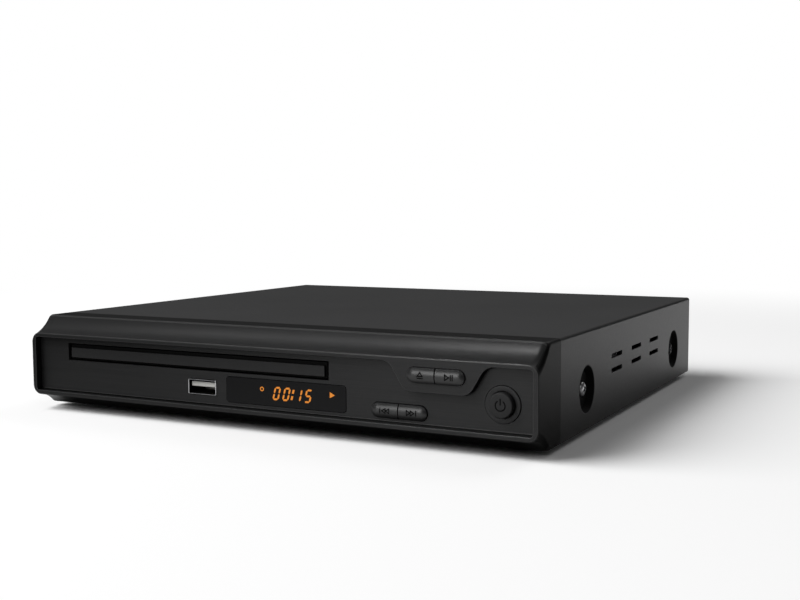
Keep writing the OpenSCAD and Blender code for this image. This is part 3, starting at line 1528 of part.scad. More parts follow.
module heat_sink() {
  x1 = supply_x1 - 0.5;
  d0 = supply_d0 + 8;
  color("silver") in_case() {
    block(x1 - 1.5, x1, d0, d0 + 26, board_z1, board_z1 + 20);
    for (i = [0:4]) block(x1 - 8, x1 - 1, d0 + i * 6, d0 + i * 6 + 1.4, board_z1, board_z1 + 20);
  }
}

module board_screws() {
  color("silver") in_case() {
    for (p = concat(main_board_holes, power_board_holes)) screw(p.x, p.y, board_z1, board_t + 3);
    for (p = front_board_posts)
      translate([p.x, front_board_d + board_t, p.y]) rotate([-90, 0, 0]) screw(0, 0, 0, board_t + 4);
  }
}

module rca_jacks() {
  half = rca_pitch * 1.5;
  tip_d = wall_d + rca_len;
  color("#181818") in_case() difference() {
    union() {
      block(rca_x - half, rca_x + half, wall_d - 12, wall_d - sheet_t, board_z1, rca_z + 6.5);
      for (x = rca_places) {
        post_y(rca_r, wall_d - 3, tip_d, x, rca_z);
        post_y(rca_collar_r, wall_d, wall_d + 1.2, x, rca_z);
      }
    }
    for (x = rca_places) post_y(1.6, wall_d - 4, tip_d + 1, x, rca_z);
    for (side = [-1, 1]) post_y(pilot_r, wall_d - 6, wall_d + 1,
      rca_x + side * rca_pitch / 2, rca_z + rca_screw_rise);
  }
}

module scart_socket() {
  half = scart_w / 2;
  well_d = wall_d - 8;
  color("#161616") in_case() difference() {
    union() {
      block(scart_x - half, scart_x + half, wall_d - 18, wall_d + 0.1, board_z1, board_z1 + scart_h);
      facing(wall_d, wall_d + 1.5) polygon(tablet([scart_x, scart_z], scart_w + 15, scart_h + 1.6, 1.5, 4));
    }
    facing(well_d, wall_d + 2) translate([scart_x, scart_z]) {
      // Shroud groove, slanted at one end
      difference() {
        polygon([[-20.5, -5.2], [20.5, -5.2], [20.5, 1.5], [17, 5.2], [-20.5, 5.2]]);
        polygon([[-19, -3.8], [19, -3.8], [19, 1], [16.2, 3.8], [-19, 3.8]]);
      }
      // Contact slots
      for (i = [0:9]) for (row = [-1, 1])
        translate([-17.2 + i * 3.6 + (row > 0 ? 0 : 0.9), row * 1.9]) square([1, 2.4], center = true);
    }
    for (side = [-1, 1])
      post_y(pilot_r, wall_d - 2, wall_d + 2, scart_x + side * scart_screw_x, scart_z);
  }
}

module hdmi_socket() {
  color("silver") in_case() {
    difference() {
      facing(wall_d - 10, wall_d + 0.8) translate([hdmi_x, hdmi_z]) polygon([[-6, -2.9],
        [6, -2.9], [7.4, -1.4], [7.4, 2.9], [-7.4, 2.9], [-7.4, -1.4]]);
      facing(wall_d - 8, wall_d + 2) translate([hdmi_x, hdmi_z]) polygon([[-5.8, -2.5],
        [5.8, -2.5], [7, -1.2], [7, 2.5], [-7, 2.5], [-7, -1.2]]);
    }
    block(hdmi_x - 6, hdmi_x + 6, wall_d - 9, wall_d - 0.4, hdmi_z - 0.5, hdmi_z + 0.7);
  }
}

module mains_inlet() {
  pin_r = 1.15;
  mouth_r = 4.4;
  color("#141414") in_case() {
    difference() {
      union() {
        block(inlet_x - 10.8, inlet_x + 10.8, wall_d - 15, wall_d + 0.1,
          inlet_z - 5.6, inlet_z + 5.6);
        facing(wall_d, wall_d + 1.6) polygon(tablet([inlet_x, inlet_z], 34, 14, 3, 4));
      }
      facing(wall_d - 11, wall_d + 2) translate([inlet_x, inlet_z]) {
        for (side = [-1, 1]) translate([side * pin_half, 0]) circle(r = mouth_r);
        square([2 * pin_half, 2 * mouth_r - 1.4], center = true);
      }
      for (side = [-1, 1]) post_y(pilot_r, wall_d - 2, wall_d + 2,
        inlet_x + side * inlet_screw_x, inlet_z);
    }
    for (side = [-1, 1])
      post_y(pin_r, wall_d - 11.5, wall_d - 1, inlet_x + side * pin_half, inlet_z);
  }
}

// Places of the screws in the rear wall, each with how far its head stands off the wall
rear_screw_places = [
  for (side = [-1, 1]) each [
    [scart_x + side * scart_screw_x, scart_z, 1.5],
    [rca_x + side * rca_pitch / 2, rca_z + rca_screw_rise, 0],
    [inlet_x + side * inlet_screw_x, inlet_z, 1.6]
  ]
];

module rear_screws() {
  color("silver") in_case() for (p = rear_screw_places)
    translate([p.x, wall_d + p.z, p.y]) rotate([-90, 0, 0]) screw(0, 0, 0, 4.5);
}

// Flat ribbon from the power board to the main board
module power_ribbon() {
  t = 1.2;
  w = 6;
  low = board_z1 + 3;
  x0 = supply_x0 + 2;
  end_x = main_x1 - w - 3;
  d0 = supply_d1 - 12;
  color("lightgray") in_case() {
    translate([0, 0, low]) linear_extrude(t)
      polygon([[x0, d0 + 1], [x0 + w, d0 + 1], [end_x + w, main_d0 + 12], [end_x, main_d0 + 12]]);
    block(x0 - 1, x0 + w + 1, d0, d0 + 4, board_z1, low + 2);
    block(end_x - 1, end_x + w + 1, main_d0 + 9, main_d0 + 13, board_z1, low + 2);
  }
}

// Two leads from the mains inlet to the power board
module mains_leads() {
  r = 1.1;
  z = board_z1 + 3;
  d0 = supply_d1 - 6;
  color("#6b3f22") in_case() {
    for (side = [-1, 1]) post_y(r, d0, wall_d - 15, inlet_x + side * pin_half, z);
    block(inlet_x - 7, inlet_x + 7, d0 - 4, d0 + 1, board_z1, board_z1 + 6);
  }
}

bottom_chassis();
top_cover();
front_bezel();
front_panel();
display_window();
feet();
cover_screws();
power_ring();
power_button();
eject_button();
play_button();
previous_button();
next_button();
front_board();
display_module();
key_switches();
ir_receiver();
usb_shell();
usb_tongue();
front_ribbon();
loader_frame();
disc_tray();
tray_door();
tray_gear();
pulley_gear();
drive_belt();
motor_pulley();
loading_motor();
cam_slider();
clamper_bridge();
clamper();
clamper_magnet();
loader_screws();
lift_frame();
lift_dampers();
traverse_plate();
spindle_motor();
turntable();
guide_rods();
pickup_sled();
pickup_lens();
sled_motor();
sled_gear();
sled_pinion();
main_board();
main_chips();
rca_jacks();
scart_socket();
hdmi_socket();
mains_inlet();
power_board();
transformer();
mains_capacitor();
output_capacitors();
heat_sink();
board_screws();
rear_screws();
power_ribbon();
mains_leads();
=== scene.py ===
"""Compact disc player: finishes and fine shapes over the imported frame.

Lengths are millimetres in the player's own frame: x to the right, d the depth behind the
face of the front frame, z up. A piece turns into metres when it is finished.
"""

import json
import logging
import math
from dataclasses import dataclass, field
from enum import Enum
from typing import Callable, Sequence

import bmesh
import bpy
from mathutils import Matrix, Vector

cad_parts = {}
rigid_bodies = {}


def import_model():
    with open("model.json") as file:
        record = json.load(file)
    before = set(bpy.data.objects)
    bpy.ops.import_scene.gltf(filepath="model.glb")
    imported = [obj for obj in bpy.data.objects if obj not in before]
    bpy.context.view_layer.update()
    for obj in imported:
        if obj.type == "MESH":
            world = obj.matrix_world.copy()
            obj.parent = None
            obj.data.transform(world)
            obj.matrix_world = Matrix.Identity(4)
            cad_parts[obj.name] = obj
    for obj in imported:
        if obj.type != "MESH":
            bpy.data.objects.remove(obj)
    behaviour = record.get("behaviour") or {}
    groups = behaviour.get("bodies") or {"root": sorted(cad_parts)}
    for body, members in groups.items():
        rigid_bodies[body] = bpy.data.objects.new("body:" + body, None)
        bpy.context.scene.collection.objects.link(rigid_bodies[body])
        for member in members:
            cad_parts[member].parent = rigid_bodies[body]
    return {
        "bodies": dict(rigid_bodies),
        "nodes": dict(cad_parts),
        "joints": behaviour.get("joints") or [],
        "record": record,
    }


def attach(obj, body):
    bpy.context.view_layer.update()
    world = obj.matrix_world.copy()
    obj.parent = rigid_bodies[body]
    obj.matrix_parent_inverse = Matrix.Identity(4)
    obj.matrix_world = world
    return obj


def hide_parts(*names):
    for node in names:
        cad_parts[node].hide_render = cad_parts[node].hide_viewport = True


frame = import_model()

log = logging.getLogger("player")

Pair = tuple[float, float]
Colour = tuple[float, float, float]

MM = 0.001
FRONT_Y = -106.4
CASE_BODY = "player"
UP = Vector((0, 0, 1))
BACK = Vector((0, 1, 0))


# ------------------------------------------------------------------ shader tools


class Value:
    """A socket in a shader expression; arithmetic on it adds Math nodes."""

    def __init__(self, tree: "ShaderTree", socket: bpy.types.NodeSocket) -> None:
        """Wraps a socket.

        Args:
            tree: Tree that the socket belongs to.
            socket: Output socket of a node.
        """
        self.tree = tree
        self.socket = socket

    def _math(self, operation: str, *terms: "Value | float") -> "Value":
        """Adds one Math node.

        Args:
            operation: Operation of the node.
            terms: Values or numbers, in order.

        Returns:
            The node's result.
        """
        node = self.tree.node("ShaderNodeMath", {"operation": operation}, dict(enumerate(terms)))
        return Value(self.tree, node.outputs[0])

    def __add__(self, other: "Value | float") -> "Value":
        """Sum."""
        return self._math("ADD", self, other)

    def __sub__(self, other: "Value | float") -> "Value":
        """Difference."""
        return self._math("SUBTRACT", self, other)

    def __rsub__(self, other: float) -> "Value":
        """Difference from a number."""
        return self._math("SUBTRACT", other, self)

    def __mul__(self, other: "Value | float") -> "Value":
        """Product."""
        return self._math("MULTIPLY", self, other)

    __rmul__ = __mul__

    def power(self, exponent: float) -> "Value":
        """Power with a fixed exponent."""
        return self._math("POWER", self, exponent)

    def absolute(self) -> "Value":
        """Distance from zero."""
        return self._math("ABSOLUTE", self)

    def repeat(self, period: float) -> "Value":
        """Rest after division by a period, always positive."""
        return self._math("FLOORED_MODULO", self, period)

    def below(self, limit: float) -> "Value":
        """1 where the value is less than a limit, otherwise 0."""
        return self._math("LESS_THAN", self, limit)

    def above(self, limit: float) -> "Value":
        """1 where the value is more than a limit, otherwise 0."""
        return self._math("GREATER_THAN", self, limit)

    def spread(self, low: float, high: float) -> "Value":
        """Maps low..high to 0..1 with soft ends.

        Args:
            low: Value that becomes 0.
            high: Value that becomes 1.

        Returns:
            The mapped value, kept between 0 and 1.
        """
        node = self.tree.node(
            "ShaderNodeMapRange", {"interpolation_type": "SMOOTHSTEP"},
            {"Value": self, "From Min": low, "From Max": high},
        )
        return Value(self.tree, node.outputs["Result"])


class ShaderTree:
    """Node tree of one material or world, with a single way to add any node."""

    def __init__(self, name: str, kind: str = "Material") -> None:
        """Makes an empty material or world.

        Args:
            name: Its name.
            kind: Material or World.
        """
        self.owner = (bpy.data.worlds if kind == "World" else bpy.data.materials).new(name)
        self.owner.use_nodes = True
        self.nodes = self.owner.node_tree.nodes
        self.links = self.owner.node_tree.links
        self.nodes.clear()
        self.output = self.node(f"ShaderNodeOutput{kind}")
        self.coords = self.node("ShaderNodeTexCoord").outputs["Object"]

    def node(
        self, kind: str, settings: dict[str, object] | None = None,
        inputs: dict[str | int, object] | None = None,
    ) -> bpy.types.Node:
        """Adds a node, sets it up and feeds its sockets.

        Args:
            kind: Type of the node.
            settings: Properties that are set first.
            inputs: Number, colour, socket or Value for each input socket.

        Returns:
            The new node.
        """
        made = self.nodes.new(kind)
        for key, setting in (settings or {}).items():
            setattr(made, key, setting)
        for key, feed in (inputs or {}).items():
            socket = made.inputs[key]
            if isinstance(feed, Value):
                feed = feed.socket
            if isinstance(feed, bpy.types.NodeSocket):
                self.links.new(feed, socket)
            else:
                socket.default_value = feed
        return made

    def noise(self, size: float, detail: float = 2.0, stretch: Sequence[float] = (1, 1, 1)) -> Value:
        """Noise on the object's own coordinates.

        Args:
            size: Size of the grain in millimetres.
            detail: Octaves of finer noise.
            stretch: How much longer the grain is along each axis.

        Returns:
            Noise between 0 and 1.
        """
        scale = [1 / (size * MM * s) for s in stretch]
        mapping = self.node("ShaderNodeMapping", {}, {"Vector": self.coords, "Scale": scale})
        texture = self.node(
            "ShaderNodeTexNoise", {}, {"Vector": mapping.outputs[0], "Scale": 1.0, "Detail": detail}
        )
        return Value(self, texture.outputs["Fac"])

    def cloud(self, size: float, detail: float = 2.0) -> Value:
        """Soft patches between 0 and 1."""
        return self.noise(size, detail).spread(0.3, 0.7)

    def cells(self, size: float) -> tuple[Value, bpy.types.NodeSocket]:
        """Voronoi cells on the object's own coordinates.

        Args:
            size: Size of a cell in millimetres.

        Returns:
            Distance to the cell's point, and the cell's random colour.
        """
        texture = self.node("ShaderNodeTexVoronoi", {}, {"Vector": self.coords, "Scale": 1 / (size * MM)})
        return Value(self, texture.outputs["Distance"]), texture.outputs["Color"]

    def axis(self, name: str) -> Value:
        """One of the object's own coordinates, X, Y or Z, in metres."""
        node = self.node("ShaderNodeSeparateXYZ", {}, {0: self.coords})
        return Value(self, node.outputs[name])

    def blend(self, share: Value, first: object, second: object) -> bpy.types.NodeSocket:
        """Mixes two colours.

        Args:
            share: How much of the second colour shows.
            first: Colour or colour socket.
            second: Colour or colour socket.

        Returns:
            Socket of the mixed colour.
        """
        feeds = [(*c, 1.0) if isinstance(c, tuple) else c for c in (first, second)]
        node = self.node("ShaderNodeMix", {"data_type": "RGBA"}, {0: share, 6: feeds[0], 7: feeds[1]})
        return node.outputs[2]

    def bump(self, height: Value, depth: float) -> bpy.types.NodeSocket:
        """Normal of a relief, from its height between 0 and 1 and its depth in millimetres."""
        return self.node("ShaderNodeBump", {}, {"Height": height, "Distance": depth * MM}).outputs[0]

    def surface(self, **inputs: object) -> bpy.types.Material:
        """Ends the tree with one principled shader.

        Args:
            inputs: Feeds of the shader's sockets, with underscores for spaces.

        Returns:
            The finished material.
        """
        feeds = {key.replace("_", " "): feed for key, feed in inputs.items()}
        for key, feed in feeds.items():
            if isinstance(feed, tuple) and len(feed) == 3:
                feeds[key] = (*feed, 1.0)
        return self.end(self.node("ShaderNodeBsdfPrincipled", {}, feeds).outputs[0])

    def mix(self, share: object, first: object, second: object) -> bpy.types.NodeSocket:
        """Shader between two others."""
        return self.node("ShaderNodeMixShader", {}, {0: share, 1: first, 2: second}).outputs[0]

    def end(self, shader: bpy.types.NodeSocket) -> bpy.types.Material | bpy.types.World:
        """Shows a shader on the surface and gives the finished material or world."""
        self.links.new(shader, self.output.inputs["Surface"])
        return self.owner


# ------------------------------------------------------------------ finishes


@dataclass(frozen=True)
class Finish:
    """A surface finish: its colour, its gloss and the grain it shows."""

    name: str
    colour: Colour
    roughness: float = 0.5
    specular: float = 0.5
    grain: float = 0.35
    relief: float = 0.02
    drift: float = 0.12

    def tint(self, factor: float) -> Colour:
        """The finish's colour, lighter or darker by a factor."""
        return tuple(min(1.0, c * factor) for c in self.colour)

    def drifting(self, tree: ShaderTree, share: Value) -> bpy.types.NodeSocket:
        """The finish's colour, darker where a pattern is low and lighter where it is high."""
        return tree.blend(share, self.tint(1 - self.drift), self.tint(1 + self.drift))

    def dress(
        self, tree: ShaderTree, colour: object, pattern: Value, swing: float, **more: object
    ) -> bpy.types.Material:
        """Ends a tree with the finish's own gloss.

        Args:
            tree: Tree of the material.
            colour: Colour or colour socket.
            pattern: Pattern that changes the roughness and, unless a normal is given, the relief.
            swing: How far the roughness changes with it.
            more: Further feeds of the shader, with underscores for spaces.

        Returns:
            The finished material.
        """
        if "Normal" not in more:
            more["Normal"] = tree.bump(pattern, self.relief)
        rough = pattern * swing + (self.roughness - swing / 2)
        return tree.surface(Base_Color=colour, Roughness=rough, Specular_IOR_Level=self.specular, **more)

    def material(self) -> bpy.types.Material:
        """Builds the finish: moulded plastic with fine spark-eroded grain."""
        tree = ShaderTree(self.name)
        return self.dress(tree, self.drifting(tree, tree.cloud(38)), tree.noise(self.grain, 3), 0.12)


@dataclass(frozen=True)
class PowderCoat(Finish):
    """Baked black paint on sheet steel, with an orange-peel skin and fine specks."""

    def material(self) -> bpy.types.Material:
        """Builds the finish."""
        tree = ShaderTree(self.name)
        specks, _ = tree.cells(0.5)
        colour = tree.blend(specks.below(0.12) * 0.5, self.drifting(tree, tree.cloud(60)), self.tint(1.7))
        return self.dress(tree, colour, tree.noise(self.grain, 4), 0.14)


@dataclass(frozen=True)
class Brushed(Finish):
    """Plastic or metal with fine lines brushed along X."""

    metallic: float = 0.0

    def material(self) -> bpy.types.Material:
        """Builds the finish."""
        tree = ShaderTree(self.name)
        fine = tree.noise(self.grain, 2, (240, 1, 1))
        long = tree.noise(self.grain * 2.4, 1, (90, 1, 1))
        lines = fine * 0.6 + long * 0.4
        colour = self.drifting(tree, lines.spread(0.35, 0.65))
        return self.dress(tree, colour, lines, 0.2, Metallic=self.metallic)


@dataclass(frozen=True)
class Metal(Finish):
    """Bare or plated metal with faint handling marks, and spangle if its size isn't zero."""

    spangle: float = 0.0

    def material(self) -> bpy.types.Material:
        """Builds the finish."""
        tree = ShaderTree(self.name)
        marks = tree.noise(self.grain, 3, (1, 3, 1))
        normal = tree.bump(marks, self.relief)
        colour = self.drifting(tree, tree.cloud(14, 3))
        if self.spangle:
            _, patch = tree.cells(self.spangle)
            tone = Value(tree, tree.node("ShaderNodeSeparateColor", {}, {0: patch}).outputs[0])
            colour = tree.blend(tone * 0.35, colour, self.tint(0.78))
            marks = marks + tone * 0.625
        return self.dress(tree, colour, marks, 0.16, Metallic=1.0, Normal=normal)


@dataclass(frozen=True)
class Board(Finish):
    """Circuit board with copper tracks and pads under its lacquer."""

    relief: float = 0.035
    track: Colour = (0.05, 0.28, 0.1)
    pad: Colour = (0.75, 0.68, 0.5)

    def material(self) -> bpy.types.Material:
        """Builds the finish."""
        tree = ShaderTree(self.name)
        x, y, z = (tree.axis(name) for name in "XYZ")
        wander = tree.noise(9, 0)
        run = (x + wander * (2.2 * MM)).repeat(2.54 * MM).below(1.1 * MM)
        across = (y + z + wander * (3.0 * MM)).repeat(5.08 * MM).below(1.3 * MM)
        area = tree.noise(17, 0).above(0.5)
        tracks = run * area + across * (1 - area)
        distance, _ = tree.cells(4.2)
        pads = distance.below(0.16)
        weave = tree.noise(0.5, 1)
        colour = tree.blend(pads, tree.blend(tracks * 0.8, self.colour, self.track), self.pad)
        normal = tree.bump(tracks + weave * 0.2, self.relief)
        return self.dress(tree, colour, weave, 0.1, Metallic=pads * 0.7, Normal=normal)


@dataclass(frozen=True)
class Stripes(Finish):
    """Flat cable, tape or winding: fine stripes side by side."""

    pitch: float = 1.0
    gap: Colour = (0.55, 0.55, 0.53)
    along: str = "X"

    def material(self) -> bpy.types.Material:
        """Builds the finish."""
        tree = ShaderTree(self.name)
        pitch = self.pitch * MM
        ridge = (tree.axis(self.along).repeat(pitch) * (1 / pitch) - 0.5).absolute() * 2
        grime = tree.noise(3, 2)
        colour = tree.blend(ridge.spread(0.6, 0.95), self.colour, self.gap)
        colour = tree.blend(grime.spread(0.45, 0.8) * 0.2, colour, self.tint(0.6))
        return self.dress(tree, colour, grime, 0.1, Normal=tree.bump(1 - ridge.power(3), self.relief))


@dataclass(frozen=True)
class Glow(Finish):
    """Lit segment of the display."""

    strength: float = 1.0

    def material(self) -> bpy.types.Material:
        """Builds the finish."""
        tree = ShaderTree(self.name)
        colour = tree.blend(tree.cloud(0.5, 1), self.tint(0.82), self.tint(1.1))
        return tree.surface(
            Base_Color=(0.02, 0.01, 0.005), Roughness=self.roughness, Specular_IOR_Level=0.1,
            Emission_Color=colour, Emission_Strength=self.strength,
        )


class Look(Enum):
    """The finishes of the player."""

    COVER = PowderCoat("cover_powder_coat", (0.041, 0.041, 0.0415), 0.38, 0.18, 0.55, 0.015, 0.04)
    # Painted shade: the cover's black paint, made near black inside the dishes where little light reaches.
    DISH = Finish("dish_painted_shade", (0.006, 0.006, 0.006), 0.6, 0.05, 0.4, 0.01, 0.1)
    BEZEL = Finish("bezel_moulded_black", (0.016, 0.016, 0.0162), 0.36, 0.19, 0.3, 0.006, 0.04)
    # Painted shade: the bezel's own moulding, made near black on the rounded corners at its sides.
    CORNER = Finish("corner_painted_shade", (0.004, 0.004, 0.0041), 0.4, 0.1, 0.3, 0.01, 0.04)
    # Painted shade: the bezel's own moulding, made darker on its flat collar next to the cover and on its
    # sides.
    COLLAR = Finish("collar_painted_shade", (0.0105, 0.0105, 0.0106), 0.45, 0.12, 0.3, 0.02, 0.06)
    PANEL = Brushed("panel_brushed_black", (0.0165, 0.0165, 0.0168), 0.40, 0.25, 0.2, 0.02, 0.14)
    DOOR = Finish("door_satin_black", (0.025, 0.025, 0.0253), 0.4, 0.15, 0.3, 0.006, 0.04)
    BUTTON = Finish("button_satin_black", (0.019, 0.019, 0.0193), 0.32, 0.5, 0.25, 0.004, 0.04)
    # Painted highlight: the moulding's rounded edges and the panel's bead in a lighter colour, with a glossier
    # finish of their own.
    EDGE = Finish("edge_painted_highlight", (0.035, 0.035, 0.0353), 0.3, 0.4, 0.3, 0.002, 0.04)
    # Painted shade: near black for the floors of engraved signs, the tray flap's set-back rim and the inside
    # of the USB shell.
    SIGN = Finish("recess_painted_shade", (0.003, 0.003, 0.003), 0.6, 0.05, 0.3, 0.01, 0.1)
    WINDOW = Finish("window_smoked", (0.008, 0.008, 0.0085), 0.2, 0.12, 0.4, 0.001, 0.04)
    DIGITS = Glow("display_amber", (1.0, 0.32, 0.045), strength=0.8)
    RUBBER = Finish("foot_rubber", (0.012, 0.012, 0.012), 0.8, 0.25, 0.6, 0.05, 0.15)
    ZINC = Metal("zinc_plated_sheet", (0.60, 0.61, 0.62), 0.36, spangle=5.0, relief=0.01, drift=0.05)
    SCREW = Metal("screw_zinc", (0.55, 0.55, 0.56), 0.28, grain=0.2, relief=0.006, drift=0.08)
    # Painted shade: the same screws, made near black where they sit deep in the rear dishes.
    BLACK_SCREW = Metal("screw_painted_shade", (0.02, 0.02, 0.022), 0.4, grain=0.2, relief=0.006, drift=0.1)
    STEEL = Metal("bright_steel", (0.78, 0.78, 0.80), 0.2, grain=0.5, relief=0.004, drift=0.05)
    ALUMINIUM = Brushed("aluminium_extruded", (0.74, 0.74, 0.76), 0.34, 0.5, 0.3, 0.02, 0.06, metallic=1.0)
    ANODISED = Brushed("heat_sink_anodised", (0.02, 0.02, 0.022), 0.45, 0.4, 0.3, 0.02, 0.1)
    CASTING = Metal("zinc_casting", (0.42, 0.43, 0.45), 0.5, grain=0.5, relief=0.05, drift=0.1)
    BRASS = Metal("contact_gold", (0.85, 0.62, 0.26), 0.25, grain=0.3, relief=0.004, drift=0.08)
    GREEN_BOARD = Board("board_green", (0.012, 0.075, 0.03), 0.35, 0.5, track=(0.02, 0.16, 0.055))
    BROWN_BOARD = Board("board_paper_laminate", (0.33, 0.19, 0.075), 0.5, 0.4, track=(0.42, 0.27, 0.12))
    PARTS = Finish("epoxy_black", (0.016, 0.016, 0.017), 0.55, 0.4, 0.2, 0.015, 0.15)
    JACK_RED = Finish("jack_red", (0.45, 0.012, 0.012), 0.4, 0.5, 0.3, 0.01, 0.06)
    JACK_WHITE = Finish("jack_white", (0.8, 0.8, 0.78), 0.4, 0.5, 0.3, 0.01, 0.04)
    JACK_ORANGE = Finish("jack_orange", (0.7, 0.2, 0.02), 0.4, 0.5, 0.3, 0.01, 0.06)
    WHITE = Finish("white_moulding", (0.74, 0.74, 0.70), 0.5, 0.45, 0.4, 0.015, 0.04)
    GREY = Finish("grey_moulding", (0.50, 0.50, 0.48), 0.55, 0.4, 0.45, 0.02, 0.05)
    DARK = Finish("dark_moulding", (0.022, 0.022, 0.023), 0.52, 0.35, 0.45, 0.02, 0.08)
    ACETAL = Finish("acetal_ivory", (0.72, 0.68, 0.56), 0.42, 0.5, 0.35, 0.01, 0.05)
    FERRITE = Finish("ferrite_grey", (0.035, 0.036, 0.038), 0.7, 0.3, 0.25, 0.04, 0.2)
    LENS = Finish("lens_coated", (0.03, 0.06, 0.22), 0.08, 0.9, 0.4, 0.001, 0.1)
    SLEEVE = Finish("capacitor_sleeve", (0.012, 0.022, 0.075), 0.28, 0.5, 0.3, 0.004, 0.1)
    RIBBON = Stripes("flat_cable", (0.72, 0.72, 0.70), 0.4, 0.5, relief=0.06, pitch=1.0)
    WINDING = Stripes(
        "winding_tape", (0.66, 0.42, 0.05), 0.45, 0.5, relief=0.05, pitch=2.2, gap=(0.4, 0.25, 0.03), along="Z"
    )
    LEAD = Finish("lead_insulation", (0.12, 0.05, 0.02), 0.45, 0.4, 0.4, 0.01, 0.1)

    def material(self) -> bpy.types.Material:
        """The finish's material, made the first time that it is asked for."""
        return bpy.data.materials.get(self.value.name) or self.value.material()


# ------------------------------------------------------------------ shapes


class Facing(Enum):
    """Plane of an outline: which of x, d and z its two numbers are, and which one is its depth."""

    FRONT = (0, 2, 1)
    TOP = (0, 1, 2)
    SIDE = (1, 2, 0)

    def point(self, u: float, v: float, w: float) -> Vector:
        """Point in x, d and z of an outline's point (u, v) at depth w."""
        place = Vector((0, 0, 0))
        for axis, number in zip(self.value, (u, v, w)):
            place[axis] = number
        return place


def span(u0: float, u1: float, v0: float, v1: float) -> list[Pair]:
    """Corners of a rectangle between two places on each axis."""
    return [(u0, v0), (u1, v0), (u1, v1), (u0, v1)]


def box_corners(u: float, v: float, width: float, height: float) -> list[Pair]:
    """Corners of a rectangle from its centre and size."""
    return span(u - width / 2, u + width / 2, v - height / 2, v + height / 2)


def arc(radius: float, steps: int) -> list[Pair]:
    """Sine and one minus cosine of a quarter turn's steps, times a radius."""
    angles = (math.radians(90 / steps * i) for i in range(steps + 1))
    return [(radius * math.sin(a), radius * (1 - math.cos(a))) for a in angles]


def put(name: str, data: bpy.types.ID) -> bpy.types.Object:
    """New object in the scene."""
    obj = bpy.data.objects.new(name, data)
    bpy.context.scene.collection.objects.link(obj)
    return obj


